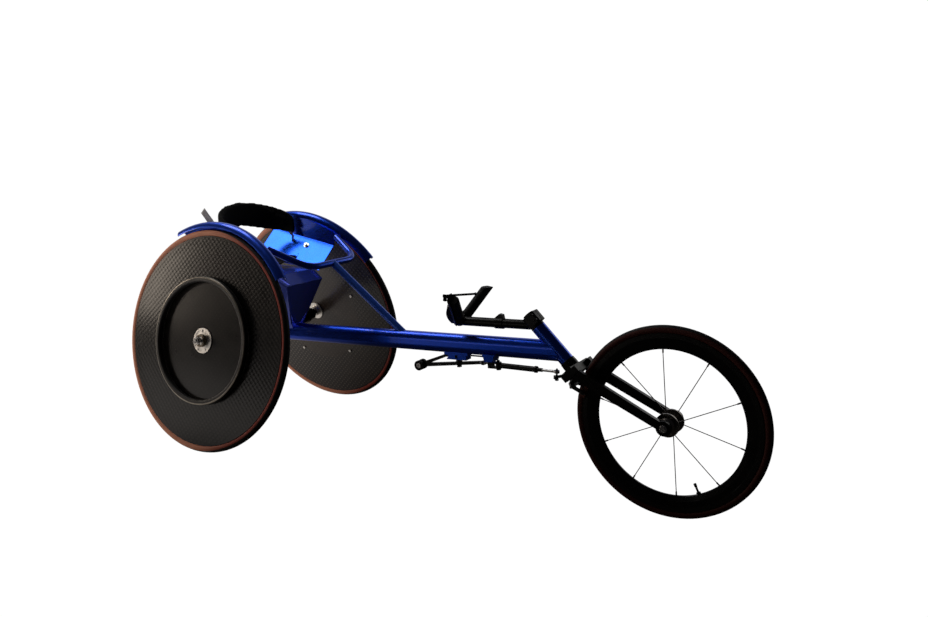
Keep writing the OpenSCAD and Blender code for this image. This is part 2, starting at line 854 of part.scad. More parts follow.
module compensator_pins() {
  foot = lever_h(pivot_s) - lever_deep / 2 - 3;
  color("silver") {
    on_beam(pivot_s) {
      translate([0, 0, foot]) cylinder(h = beam_low - 1 - foot, r = pin_r);
      translate([0, 0, foot - 4]) cylinder(h = 4, r = 7.5, $fn = 6);
      difference() {
        translate([0, 0, foot + lever_deep + 4.5])
          cylinder(h = plate_low - foot - lever_deep - 4.5 - bond, r = 8);
        cylinder(h = 300, r = pin_r, center = true);
      }
    }
    on_beam(damper_s, damper_h) translate([0, damper_y, 0]) {
      translate([0, 0, -eye_w / 2 - 6]) cylinder(h = eye_w + 16, r = pin_r);
      translate([0, 0, -eye_w / 2 - 8.5]) cylinder(h = 2.5, r = 6.5);
      sphere(r = eye_ball_r);
    }
  }
}

module damper_body() {
  color("black")
    difference() {
      union() {
        along(damper_eye - 4 * beam_up, damper_eye + 4 * beam_up) cylinder(h = eye_w, r = 7.5);
        on_damper() {
          translate([0, 0, 5]) cylinder(h = 8, r = 3.5);
          translate([0, 0, 12]) cylinder(h = 106, r = damper_body_r);
          translate([0, 0, 118]) cylinder(h = 6, r = damper_body_r + 1.5);
          translate([0, 0, 124]) cylinder(h = 16, r = 5);
        }
      }
      rod(damper_eye - 20 * beam_up, damper_eye + 20 * beam_up, pin_r + 2 * seat);
      translate(damper_eye) sphere(r = eye_ball_r + fit);
      on_damper() translate([0, 0, 60]) cylinder(h = 100, r = damper_rod_r + fit);
    }
}

module damper_rod() {
  color("silver")
    difference() {
      union() {
        on_damper() translate([0, 0, 80]) cylinder(h = damper_len - 84, r = damper_rod_r);
        translate(rod_end) cylinder(h = 7, r = 7, center = true);
      }
      translate(rod_end) cylinder(h = 30, r = stud_r + open_gap, center = true);
    }
}

// Steering

module steerer() {
  color("silver")
    on_steer()
      difference() {
        translate([0, 0, race_top]) cylinder(h = stem_low + stem_h - race_top, d = steerer_d);
        translate([0, 0, race_top + 4]) cylinder(h = big, d = steerer_d - 5);
      }
}

module crown_block() {
  on_steer() {
    translate([crown_back, -crown_half, -crown_low])
      cube([crown_front - crown_back, 2 * crown_half, crown_low - 8]);
    translate([0, 0, -10]) cylinder(h = 10 + race_top - seat, r = 21);
    for (s = [-1, 1])
      translate([crown_back, s * blade_y - (blade_t + 5) / 2, -crown_low])
        cube([52, blade_t + 5, crown_low - 12]);
  }
  on_fork() translate([brake_x, 0, 0]) cylinder(h = brake_z - 2, r = 10.5);
}

module fork_crown() {
  color("black")
    difference() {
      crown_block();
      on_front() cylinder(h = 2 * (blade_y - blade_t / 2), r = front_r + tyre_room, center = true);
      on_fork() translate([brake_x, 0, 0]) cylinder(h = 100, r = brake_pin_r);
    }
}

module fork_blade(side) {
  top = fork_len - 6;
  color("black")
    difference() {
      on_fork()
        translate([0, side * blade_y + blade_t / 2, 0]) rotate([90, 0, 0])
          linear_extrude(blade_t) {
            circle(19);
            polygon([[0, -11], [160, -17], [top, -21], [top, 9], [160, 9], [0, 10]]);
          }
      on_steer() translate([-80, -100, -crown_low]) cube([200, 200, 200]);
      on_front() cylinder(h = 200, d = front_axle_d + 2 * bond, center = true);
    }
}
module fork_blade_right() { fork_blade(-1); }
module fork_blade_left() { fork_blade(1); }

module front_axle() {
  reach = blade_y + blade_t / 2;
  color("silver")
    on_front() {
      cylinder(h = 2 * reach + 14, d = front_axle_d, center = true);
      for (m = [0, 1]) mirror([0, 0, m]) {
        translate([0, 0, reach])
          difference() {
            cylinder(h = 1.5, r = 9.5);
            cylinder(h = 9, d = front_axle_d, center = true);
          }
        translate([0, 0, reach + 1.5])
          difference() {
            cylinder(h = 6, r = 8, $fn = 6);
            cylinder(h = 20, d = front_axle_d, center = true);
          }
        translate([0, 0, front_old / 2 - 4])
          difference() {
            cylinder(h = 4, r = 8);
            cylinder(h = 9, d = front_axle_d, center = true);
          }
      }
    }
}

stem_bolt_r = 2.5;
module stem_bolt_holes() {
  for (z = [stem_low + 8, stem_low + stem_h - 8])
    translate([stem_front - 6, 0, z]) rotate([90, 0, 0])
      cylinder(h = 2 * stem_half + 10, r = stem_bolt_r, center = true);
}

module stem() {
  color("black")
    difference() {
      on_steer() {
        translate([(stem_front + stem_back) / 2, 0, stem_low]) linear_extrude(stem_h)
          round_rect(stem_front - stem_back, 2 * stem_half, 6);
        translate([0, 0, stem_low + stem_h]) cylinder(h = 4, r = 15);
      }
      on_steer() translate([0, 0, -1]) cylinder(h = stem_low + stem_h + 1, d = steerer_d + 2 * bond);
      on_steer() translate([10, -1, stem_low - 1]) cube([30, 2, stem_h + 1]);
      on_steer() stem_bolt_holes();
      rod(bar_front - 5 * bar_dir, bar_front + 80 * bar_dir, bar_tube / 2 + bond);
    }
}

module stem_bolts() {
  color("dimgray")
    on_steer() for (z = [stem_low + 8, stem_low + stem_h - 8])
      translate([stem_front - 6, 0, z]) rotate([90, 0, 0]) {
        cylinder(h = 2 * stem_half + 4, r = stem_bolt_r, center = true);
        translate([0, 0, stem_half])
          difference() {
            cylinder(h = 4, r = 4.2);
            translate([0, 0, -1]) cylinder(h = 8, r = stem_bolt_r);
          }
      }
}

module handlebar() {
  color("black") {
    difference() {
      rod(bar_front - 5 * bar_dir, bar_rear, bar_tube / 2);
      on_steer() translate([0, 0, stem_low - 2])
        cylinder(h = stem_h + 20, d = steerer_d);
      on_steer() translate([0, -30, stem_low - 20]) cube([60, 60, stem_h + 60]);
    }
    for (s = [-1, 1])
      difference() {
        on_grip(s) cylinder(h = core_end(s), d = grip_core);
        rod(bar_front, bar_rear, bar_tube / 2);
        translate([-big, s > 0 ? -big : 0, 0]) cube([2 * big, big, big]);
      }
  }
}

module grip(s) {
  color("black")
    difference() {
      on_grip(s)
        difference() {
          union() {
            translate([0, 0, grip_start]) cylinder(h = grip_end(s) - grip_start, d = grip_d);
            translate([0, 0, grip_start]) cylinder(h = 5, d = grip_d + 3);
            if (s < 0) translate([0, 0, grip_end(s)]) cylinder(h = 2, d = grip_d - 5);
          }
          translate([0, 0, -1])
            cylinder(h = core_end(s) + 1 + bond, d = grip_core + 2 * bond);
        }
      if (s > 0) translate(grip_tip + [-60, -60, 1]) cube([120, 120, 60]);
    }
}
module grip_right() { grip(-1); }
module grip_left() { grip(1); }

// Guard behind the right grip that carries the brake lever's pivot
module lever_hood() {
  inner = grip_d / 2 + hood_gap;
  color("black")
    difference() {
      on_grip(-1)
        difference() {
          union() {
            difference() {
              translate([0, 0, 10]) cylinder(h = hood_top - 10, r = inner + hood_t);
              translate([0, 0, 9]) cylinder(h = hood_top, r = inner);
              translate([-60, -7, 9]) cube([120, 60, hood_top]);
            }
            difference() {
              translate([0, hood_curve - inner - hood_t - hood_belly, 48]) rotate([0, 90, 0])
                cylinder(h = hood_wide, r = hood_curve, center = true);
              cylinder(h = hood_top, r = inner);
              translate([-60, -10, -100]) cube([120, 300, 400]);
              translate([-60, -60, -100]) cube([120, 120, 110]);
            }
            difference() {
              translate([0, 0, 10]) cylinder(h = 12, r = inner + bond);
              translate([-60, 10, 9]) cube([120, 60, 20]);
            }
            translate([0, lever_pivot.y, lever_pivot.z]) rotate([0, 90, 0])
              cylinder(h = 12, r = 5, center = true);
          }
          translate([0, 0, -1]) cylinder(h = 60, d = grip_core + 2 * bond);
          translate([0, lever_pivot.y, lever_pivot.z]) rotate([0, 90, 0])
            cylinder(h = 40, r = lever_pin_r + bond, center = true);
          translate([-3.4, lever_pivot.y - 12, lever_pivot.z - 9]) cube([6.8, 18.4, 40]);
        }
      rod(bar_front, bar_rear + 12 * bar_dir, bar_tube / 2 + bond);
      rod(grip_root, grip_tip, grip_core / 2 + bond);
    }
  color("black") on_grip(-1) translate([0, lever_pivot.y, lever_pivot.z])
    rotate([0, 90, 0]) cylinder(h = 14, r = lever_pin_r, center = true);
}

module brake_lever() {
  tip = [rear_x + 812, -30, 516];
  color("black")
    difference() {
      union() {
        on_grip(-1) translate(lever_pivot) {
          rotate([0, 90, 0]) cylinder(h = 6, r = 5, center = true);
          translate([-3, -3.5, 0]) cube([6, 7, lever_rise + 2.5]);
        }
        rod(lever_knee, tip, 3);
        translate(tip) sphere(4);
      }
      on_grip(-1) translate(lever_pivot) rotate([0, 90, 0])
        cylinder(h = 20, r = lever_pin_r + fit, center = true);
    }
}

module bar_clamp() {
  mid = bar_front + 86 * bar_dir;
  color("black")
    difference() {
      along(mid, mid - bar_dir) {
        translate([0, 0, -12]) cylinder(h = 24, d = bar_tube + 5);
        rotate([90, 0, 0]) linear_extrude(12, center = true)
          polygon([[-12, -16], [-12, 14], [-24, 12], [-26, 2]]);
      }
      rod(bar_front, bar_rear, bar_tube / 2 + bond);
    }
}

// Arm from the crown to the damper, with a stud that stands in the rod's eye
module steering_arm() {
  foot = rod_end + [-2, 0, -15];
  root = race + [18, 11, 0] + [-4, -41, -15];
  color("black") {
    difference() {
      union() {
        rod(foot, root, 4);
        translate(foot) cylinder(h = 8, r = 6.5, center = true);
      }
      crown_block();
      translate(rod_end) cylinder(h = 60, r = stud_r, center = true);
    }
    translate(rod_end + [0, 0, -24]) cylinder(h = 32, r = stud_r);
    difference() {
      translate(rod_end + [0, 0, -23]) cylinder(h = 3.9, r = 5.5, $fn = 6);
      translate(rod_end) cylinder(h = 60, r = stud_r, center = true);
    }
  }
}

// Side-pull caliper

module caliper_bolt() {
  color("silver")
    on_fork() translate([brake_x, 0, 4]) {
      cylinder(h = brake_z + 2 * arm_t + 8, r = brake_pin_r);
      translate([0, 0, brake_z + 2 * arm_t - 2]) difference() {
        cylinder(h = 5, r = 6, $fn = 6);
        translate([0, 0, -1]) cylinder(h = 9, r = brake_pin_r);
      }
    }
}

module caliper_arm(s) {
  low = brake_z + (s > 0 ? arm_t + 0.5 : 0);
  outline = [
    [7, -9], [2, 22], [-8, 34], [-50, 34], [-50, 24], [-20, 23], [-10, 14], [-9, -2]
  ];
  color("black")
    on_fork() {
      difference() {
        translate([brake_x, 0, low]) linear_extrude(arm_t) {
          polygon([for (q = outline) [q.x, s * q.y]]);
          circle(9);
        }
        translate([brake_x, 0, 0]) cylinder(h = 100, r = brake_pin_r + fit);
        translate([pad_x, 0, low + arm_t / 2]) rotate([90, 0, 0])
          cylinder(h = 100, r = 2.2, center = true);
      }
      translate([pad_x, s * pad_y, low + arm_t / 2]) {
        rotate([90, 0, 0]) translate([0, 0, s > 0 ? -28 : 7]) cylinder(h = 21, r = 2.2);
        translate([-6, s > 0 ? pad_deep : -pad_deep - 3, -17]) difference() {
          cube([12, 3, 32]);
          translate([6, 0, 17]) rotate([90, 0, 0]) cylinder(h = 40, r = 2.2, center = true);
        }
      }
      intersection() {
        translate([pad_x, s * pad_y, low + arm_t / 2]) difference() {
          translate([-5, s > 0 ? 0 : -pad_deep, -20]) cube([10, pad_deep, 38]);
          rotate([90, 0, 0]) cylinder(h = 40, r = 2.2, center = true);
        }
        rotate([90, 0, 0]) cylinder(h = 200, r = front_bed - clear, center = true);
      }
    }
}
module caliper_arm_right() { caliper_arm(-1); }
module caliper_arm_left() { caliper_arm(1); }

// Front wheel

module tyre(ring, width, bed) {
  color("black")
    rotate_extrude($fn = 128)
      difference() {
        translate([ring, 0]) circle(d = width);
        translate([0, -width]) square([bed, 2 * width]);
      }
}

module front_tyre() { on_front() tyre(front_ring, front_tyre_w, front_bed); }

module front_rim() {
  half = front_rim_w / 2;
  color("black")
    on_front()
      difference() {
        rotate_extrude($fn = 128)
          polygon([
            [front_rim_in + 1.5, -4], [front_rim_in, -2], [front_rim_in, 2],
            [front_rim_in + 1.5, 4], [front_rim_in + 14, half - 2.4], [front_bed - 13, half - 0.4],
            [front_bed - 12, half], [front_bed, half], [front_bed, -half],
            [front_bed - 12, -half], [front_bed - 13, -half + 0.4],
            [front_rim_in + 14, -half + 2.4]
          ]);
        rotate([0, 0, valve_angle]) rotate([0, 90, 0]) cylinder(h = front_bed, r = valve_r);
      }
}

module front_spokes() {
  color("dimgray")
    on_front() for (i = [0:spokes - 1]) rotate([0, 0, spoke_first + 360 / spokes * i]) {
      z = (i % 2 == 0 ? 1 : -1) * front_flange_z;
      rod([front_flange_r + seat, 0, z], [front_rim_in - 9, 0, z * 0.09], 1.1);
      rod([front_rim_in - 9, 0, z * 0.09], [front_rim_in - seat, 0, 0], 2);
    }
}

module front_hub() {
  color("dimgray")
    on_front()
      difference() {
        union() {
          cylinder(h = front_old - 8 - 2 * clear, r = 12, center = true);
          for (s = [-1, 1]) translate([0, 0, s * front_flange_z])
            cylinder(h = 5, r = front_flange_r, center = true);
          for (m = [0, 1]) mirror([0, 0, m]) translate([0, 0, front_flange_z])
            cylinder(h = 7, r1 = 22, r2 = 14);
        }
        cylinder(h = 200, r = 6.5, center = true);
        for (m = [0, 1]) mirror([0, 0, m])
          translate([0, 0, front_old / 2 - 12]) cylinder(h = 20, r = 9);
      }
}

module front_bearings() {
  color("silver")
    on_front() for (s = [-1, 1]) translate([0, 0, s * (front_old / 2 - 8.7)])
      difference() {
        cylinder(h = 6, r = 9, center = true);
        cylinder(h = 9, r = front_axle_d / 2 + fit, center = true);
      }
}

module front_valve() {
  color("black")
    on_front() rotate([0, 0, valve_angle]) rotate([0, 90, 0]) {
      translate([0, 0, front_rim_in - 19]) cylinder(h = 30, r = valve_r - 0.3);
      translate([0, 0, front_rim_in - 27]) cylinder(h = 7.8, r = 3.6);
      translate([0, 0, front_rim_in - 4.4])
        difference() {
          cylinder(h = 4, r = 5.5);
          cylinder(h = 20, r = valve_r - 0.3, center = true);
        }
    }
}

// Rear wheels

module push_bolt_ring(r, z, h) {
  for (i = [0:push_bolts - 1]) rotate([0, 0, 23 + 360 / push_bolts * i])
    translate([push_r, 0, z]) cylinder(h = h, r = r);
}

module disc(side) {
  half = disc_rim_w / 2;
  color("dimgray") on_wheel(side)
    difference() {
      rotate_extrude($fn = 128)
        polygon([
          [barrel_r, -disc_hub_w / 2], [barrel_r, disc_hub_w / 2], [60, disc_hub_w / 2],
          [rear_bed - 25, half], [rear_bed, half], [rear_bed, -half],
          [rear_bed - 25, -half], [60, -disc_hub_w / 2]
        ]);
      push_bolt_ring(push_bolt_d / 2 + 0.1, -30, 60);
    }
}

// Hub shell: a slotted outer cover, a stepped inner flange, and seats for two bearings
module hub(side) {
  face = disc_hub_w / 2;
  color("silver")
    on_wheel(side)
      difference() {
        union() {
          translate([0, 0, -face]) cylinder(h = face * 2, r = barrel_r);
          translate([0, 0, face]) cylinder(h = cover_t, r = cover_r);
          translate([0, 0, face + cover_t]) cylinder(h = 10, r = 19);
          translate([0, 0, -face - 4]) cylinder(h = 4, r = flange_r);
          translate([0, 0, -face - 13]) cylinder(h = 9, r = 17);
          translate([0, 0, sleeve_out + clear + 0.5])
            cylinder(h = -face - 13 - sleeve_out - clear - 0.5, r = 11);
        }
        translate([0, 0, -60]) cylinder(h = 120, r = rear_axle_d / 2 + 1);
        translate([0, 0, bearing_z - bearing_w / 2]) cylinder(h = 40, r = bearing_r);
        translate([0, 0, -bearing_z - bearing_w / 2]) cylinder(h = bearing_w, r = bearing_r);
        for (i = [0:5]) rotate([0, 0, 60 * i]) translate([0, 0, face + 1])
          rotate_extrude(angle = 38) translate([25, 0]) square([8, 5]);
      }
}

module bearings(side) {
  color("silver")
    on_wheel(side) for (z = [-bearing_z, bearing_z])
      translate([0, 0, z])
        difference() {
          cylinder(h = bearing_w, r = bearing_r, center = true);
          cylinder(h = bearing_w + 2, d = rear_axle_d + 2 * fit, center = true);
        }
}

// Push rim with its spacers, and the bolts that come through the disc into it
module push_rim(side) {
  low = -disc_rim_w / 2 - (disc_hub_w - disc_rim_w) * 0.5;
  color("black")
    on_wheel(side) {
      difference() {
        rotate_extrude($fn = 128) translate([push_r, push_z + push_h / 2])
          round_rect(push_w, push_h, 5);
        push_bolt_ring(push_bolt_d / 2, push_z - 1, 9);
      }
      difference() {
        push_bolt_ring(5, disc_rim_w / 2 + 1.25, push_z - disc_rim_w / 2 - 1.25);
        push_bolt_ring(push_bolt_d / 2, 0, 30);
      }
      push_bolt_ring(push_bolt_d / 2, low + 0.5, push_z + 7 - low - 0.5);
      push_bolt_ring(4.5, low - 2.5, 3);
    }
}

module tyre_right() { on_wheel(-1) tyre(rear_ring, rear_tyre_w, rear_bed); }
module disc_right() { disc(-1); }
module hub_right() { hub(-1); }
module bearings_right() { bearings(-1); }
module push_rim_right() { push_rim(-1); }
module tyre_left() { on_wheel(1) tyre(rear_ring, rear_tyre_w, rear_bed); }
module disc_left() { disc(1); }
module hub_left() { hub(1); }
module bearings_left() { bearings(1); }
module push_rim_left() { push_rim(1); }

main_beam();
head_tube();
brace_tube();
loop_bar();
camber_bar();
camber_sleeves();
rear_axle_right();
rear_axle_left();
fender_right();
fender_left();
side_panel_right();
side_panel_left();
knee_tray();
keel_plates();
cage_bolts();
seat_sling();
back_upholstery();
back_straps();
headset();
compensator_brackets();
damper_clevis();
track_lever();
lever_knob();
lever_screws();
compensator_pins();
damper_body();
damper_rod();
steerer();
fork_crown();
fork_blade_right();
fork_blade_left();
front_axle();
stem();
stem_bolts();
handlebar();
grip_right();
grip_left();
lever_hood();
bar_clamp();
steering_arm();
brake_lever();
caliper_bolt();
caliper_arm_right();
caliper_arm_left();
front_tyre();
front_rim();
front_spokes();
front_hub();
front_bearings();
front_valve();
tyre_right();
disc_right();
hub_right();
bearings_right();
push_rim_right();
tyre_left();
disc_left();
hub_left();
bearings_left();
push_rim_left();
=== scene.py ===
import math

import bmesh
import bpy
from mathutils import Matrix, Vector


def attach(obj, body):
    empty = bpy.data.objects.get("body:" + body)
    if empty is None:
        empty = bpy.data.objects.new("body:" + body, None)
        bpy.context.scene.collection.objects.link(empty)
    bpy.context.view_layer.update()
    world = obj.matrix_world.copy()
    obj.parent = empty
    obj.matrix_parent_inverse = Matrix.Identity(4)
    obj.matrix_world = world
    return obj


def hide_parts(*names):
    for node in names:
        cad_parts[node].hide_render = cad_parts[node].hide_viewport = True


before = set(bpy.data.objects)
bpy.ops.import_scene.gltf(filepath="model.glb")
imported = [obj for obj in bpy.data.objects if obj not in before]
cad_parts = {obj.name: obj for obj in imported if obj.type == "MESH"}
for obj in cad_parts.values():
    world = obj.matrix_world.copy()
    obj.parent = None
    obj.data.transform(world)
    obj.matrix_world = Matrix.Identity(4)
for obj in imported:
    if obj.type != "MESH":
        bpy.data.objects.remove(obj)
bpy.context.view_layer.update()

# Camera, solved from the photograph: position in metres, angles in degrees
CAMERA_AT = (1.3385, -1.9249, 0.9769)
AZIMUTH = 32.178
ELEVATION = 12.716
ROLL = -0.347
LENS = 32.94

# Places in the row frame, in metres
REAR_X = -0.6295
WHEEL_Y = 0.251
REAR_Z = 0.326948
CAMBER = math.radians(12)
REAR_BED = 0.3138
FRONT_HUB = (0.7185, 0.0, 0.245)
FRONT_BED = 0.2265
PUSH_R = 0.184
REAR_TYRE_R = 0.334
FRONT_TYRE_R = 0.245
REAR_LINE = 0.3245
FRONT_LINE = 0.2405
BRAKE_TRACK = 0.0118
DIMPLE = 0.0086
TOW = 0.0012
WEAVE_R = 0.3075
DISC_EDGE_R = 0.3105
TREAD_STEP = 0.0016
TREAD_DEPTH = 0.006


# Materials
class Look:
    """A Principled material whose nodes work in the object's own coordinates."""

    def __init__(self, name, **values):
        self.mat = bpy.data.materials.new(name)
        self.mat.use_nodes = True
        self.tree = self.mat.node_tree
        self.tree.nodes.clear()
        out = self.tree.nodes.new("ShaderNodeOutputMaterial")
        self.shader = self.tree.nodes.new("ShaderNodeBsdfPrincipled")
        self.tree.links.new(self.shader.outputs["BSDF"], out.inputs["Surface"])
        for key, value in values.items():
            self.set(key.replace("_", " "), value)
        self.coords = self.tree.nodes.new("ShaderNodeTexCoord").outputs["Object"]

    def set(self, socket, value):
        """Gives one Principled input a value or another node's output."""
        found = [s for s in self.shader.inputs if s.name.lower() == socket.lower()][0]
        self.plug(found, value)

    def plug(self, socket, value):
        if isinstance(value, bpy.types.NodeSocket):
            self.tree.links.new(value, socket)
        elif isinstance(value, (tuple, list)) and len(value) == 3 and len(socket.default_value) == 4:
            socket.default_value = (*value, 1.0)
        else:
            socket.default_value = value

    def node(self, kind, inputs=(), **settings):
        made = self.tree.nodes.new(kind)
        for key, value in settings.items():
            setattr(made, key, value)
        for index, value in inputs:
            self.plug(made.inputs[index], value)
        return made

    def math(self, operation, a, b=0.0):
        return self.node("ShaderNodeMath", [(0, a), (1, b)], operation=operation).outputs[0]

    def noise(self, scale, detail=3.0, rough=0.5, at=None):
        return self.node("ShaderNodeTexNoise", [("Vector", at or self.coords), ("Scale", scale),
                                                ("Detail", detail), ("Roughness", rough)]).outputs[0]

    def cells(self, scale):
        return self.node("ShaderNodeTexVoronoi", [("Vector", self.coords), ("Scale", scale)],
                         feature="F1").outputs["Distance"]

    def stretch(self, x, y, z):
        """Coordinates scaled differently along each axis."""
        return self.node("ShaderNodeMapping", [("Vector", self.coords), ("Scale", (x, y, z))],
                         vector_type="POINT").outputs[0]

    def ramp(self, factor, stops):
        """A colour or grey ramp; stops are (position, value or colour)."""
        made = self.node("ShaderNodeValToRGB", [(0, factor)])
        points = made.color_ramp.elements
        while len(points) < len(stops):
            points.new(0.5)
        for point, (place, value) in zip(points, stops):
            point.position = place
            point.color = (value, value, value, 1) if isinstance(value, float) else (*value, 1)
        return made.outputs[0]

    def mix(self, factor, a, b):
        made = self.tree.nodes.new("ShaderNodeMix")
        made.data_type = "RGBA"
        self.plug(made.inputs[0], factor)
        self.plug(made.inputs[6], a)
        self.plug(made.inputs[7], b)
        return made.outputs[2]

    def band(self, value, low, high, soft):
        """1 where value lies between low and high, falling off over soft."""
        rise = self.node("ShaderNodeMapRange", [(0, value), (1, low - soft), (2, low + soft)],
                         interpolation_type="SMOOTHSTEP").outputs[0]
        fall = self.node("ShaderNodeMapRange", [(0, value), (1, high - soft), (2, high + soft)],
                         interpolation_type="SMOOTHSTEP").outputs[0]
        return self.math("SUBTRACT", rise, fall)

    def along(self, origin, direction):
        """Distance of the shaded point from origin, measured along direction."""
        away = self.node("ShaderNodeVectorMath", [(0, self.coords), (1, origin)],
                         operation="SUBTRACT").outputs[0]
        return self.node("ShaderNodeVectorMath", [(0, away), (1, direction)],
                         operation="DOT_PRODUCT").outputs["Value"]

    def bump(self, height, depth, normal=None):
        inputs = [("Height", height), ("Distance", depth), ("Strength", 1.0)]
        if normal is not None:
            inputs.append(("Normal", normal))
        return self.node("ShaderNodeBump", inputs).outputs[0]

    def soft_edges(self, radius):
        """Normals that round the CAD's sharp edges."""
        return self.node("ShaderNodeBevel", [("Radius", radius)], samples=6).outputs[0]

    def edge_mask(self, radius):
        """1 on edges and corners, 0 on flat faces."""
        round_normal = self.soft_edges(radius)
        flat = self.node("ShaderNodeNewGeometry").outputs["Normal"]
        dot = self.node("ShaderNodeVectorMath", [(0, round_normal), (1, flat)],
                        operation="DOT_PRODUCT").outputs["Value"]
        return self.node("ShaderNodeMapRange", [(0, dot), (1, 0.99), (2, 0.80)]).outputs[0]


def wheel_axes(side):
    """Centre, up-the-wheel and outward directions of a rear wheel."""
    s, c = math.sin(CAMBER), math.cos(CAMBER)
    return (REAR_X, side * WHEEL_Y, REAR_Z), (0.0, -side * s, c), (0.0, side * c, s)


def wheel_coords(look, centre, up, out):
    """Forward, up and outward places on a wheel, and the distance from its axle."""
    x = look.along(centre, (1.0, 0.0, 0.0))
    w = look.along(centre, up)
    n = look.along(centre, out)
    r = look.math("SQRT", look.math("ADD", look.math("MULTIPLY", x, x), look.math("MULTIPLY", w, w)))
    return x, w, n, r


def paint(name, tint, shade, rough=0.3, coat=0.5, metal=0.88):
    """Candy-blue lacquer over brushed aluminium, with fine flake, faint handling marks and lighter edges
    that are partly wear and partly painted edge highlight.
    """
    look = Look(name, metallic=metal, coat_weight=coat, coat_roughness=0.07)
    cloud = look.noise(7.0, 4.0)
    flake = look.noise(1400.0, 1.0)
    colour = look.ramp(cloud, [(0.30, shade), (0.72, tint)])
    colour = look.mix(look.ramp(flake, [(0.45, 0.0), (0.75, 0.07)]), colour,
                      tuple(min(1.0, 1.35 * v) for v in tint))
    marks = look.noise(60.0, 6.0, 0.7, look.stretch(1.0, 6.0, 6.0))
    # Edges get a lighter blue: partly wear, partly painted edge highlight.
    look.set("base color", look.mix(look.edge_mask(0.0012), colour,
                                    tuple(min(1.0, 1.25 * v + 0.03) for v in tint)))
    look.set("roughness", look.ramp(marks, [(0.35, rough - 0.05), (0.75, rough + 0.10)]))
    look.set("normal", look.bump(cloud, 0.00004, look.soft_edges(0.0009)))
    return look.mat


def black_metal(name, base=0.004, rough=0.34, tint=(1.0, 0.88, 0.78), wear_and_highlight=0.03):
    """Black anodised or painted alloy with brownish sheen and paler edges, partly rubbed wear and partly
    painted edge highlight.
    """
    look = Look(name, metallic=0.2, coat_weight=0.08, coat_roughness=0.18, specular_ior_level=0.22)
    cloud = look.noise(18.0, 4.0)
    fine = look.noise(900.0, 2.0)
    dark = tuple(base * 0.7 * v for v in tint)
    light = tuple(base * 1.5 * v for v in tint)
    colour = look.ramp(cloud, [(0.3, dark), (0.7, light)])
    # Edges are painted paler: partly rubbed wear, partly painted edge highlight.
    look.set("base color", look.mix(look.edge_mask(0.0008), colour, tuple(wear_and_highlight * v for v in tint)))
    look.set("roughness", look.ramp(look.noise(120.0, 5.0, 0.7),
                                    [(0.3, rough - 0.06), (0.75, rough + 0.12)]))
    look.set("normal", look.bump(fine, 0.00003, look.soft_edges(0.0007)))
    return look.mat


def bright_metal(name, base, rough):
    """Bare alloy or steel with a fine brushed grain and dull spots."""
    look = Look(name, metallic=1.0)
    grain = look.noise(500.0, 2.0, 0.5, look.stretch(1.0, 14.0, 3.0))
    cloud = look.noise(40.0, 4.0)
    look.set("base color", look.ramp(cloud, [(0.3, tuple(0.82 * v for v in base)), (0.7, base)]))
    look.set("roughness", look.ramp(grain, [(0.3, rough - 0.06), (0.7, rough + 0.12)]))
    look.set("normal", look.bump(grain, 0.00002, look.soft_edges(0.0006)))
    return look.mat


def disc_look(side):
    """Clear-coated carbon disc: a dimpled weave outside the push rim, smoother and browner inside; the far
    disc is painted lighter and the near disc darker, as painted light and shade.
    """
    look = Look("disc_carbon_" + ("left" if side > 0 else "right"), coat_weight=0.5, coat_roughness=0.16,
                specular_ior_level=0.4 if side > 0 else 0.14)
    # Painted light and shade: the far (left) disc's colours are scaled lighter and the near (right) disc's
    # darker.
    tint = (1.7, 1.75, 1.85) if side > 0 else (0.19, 0.19, 0.19)

    def side_lit_tone(*colour):
        return tuple(min(1.0, a * b) for a, b in zip(colour, tint))

    x, w, n, r = wheel_coords(look, *wheel_axes(side))
    cell = math.pi / DIMPLE
    wave = look.math("MULTIPLY", look.math("SINE", look.math("MULTIPLY", x, cell)),
                     look.math("SINE", look.math("MULTIPLY", w, cell)))
    tow = look.math("SINE", look.math("MULTIPLY", x, 2 * math.pi / TOW))
    weft = look.math("SINE", look.math("MULTIPLY", w, 2 * math.pi / TOW))
    thread = look.mix(look.ramp(wave, [(0.45, 0.0), (0.55, 1.0)]), tow, weft)
    patch = look.noise(9.0, 3.0)
    outside = look.band(r, PUSH_R - 0.004, WEAVE_R, 0.004)
    dots = look.ramp(wave, [(0.15, side_lit_tone(0.012, 0.0090, 0.0072)),
                            (0.55, side_lit_tone(0.030, 0.0235, 0.019)),
                            (0.95, side_lit_tone(0.110, 0.088, 0.072))])
    plain = look.ramp(look.noise(35.0, 5.0, 0.6), [(0.3, side_lit_tone(0.026, 0.0175, 0.012)),
                                                   (0.7, side_lit_tone(0.044, 0.030, 0.021))])
    faint = look.mix(0.25, plain, dots)
    colour = look.mix(look.math("MULTIPLY", outside, look.ramp(patch, [(0.30, 0.45), (0.62, 1.0)])),
                      faint, dots)
    rim = look.band(r, DISC_EDGE_R, 0.40, 0.0008)
    look.set("base color", look.mix(rim, colour, (0.012, 0.011, 0.011)))
    look.set("roughness", look.ramp(look.noise(24.0, 6.0, 0.65), [(0.3, 0.27), (0.75, 0.40)]))
    dimples = look.math("MULTIPLY", wave, outside)
    threads = look.node("ShaderNodeRGBToBW", [(0, thread)]).outputs[0]
    height = look.math("ADD", dimples, look.math("MULTIPLY", threads, 0.06))
    rounded = look.soft_edges(0.0012)
    look.set("normal", look.bump(height, 0.00018, rounded))
    look.set("coat normal", look.bump(dimples, 0.00006, rounded))
    return look.mat


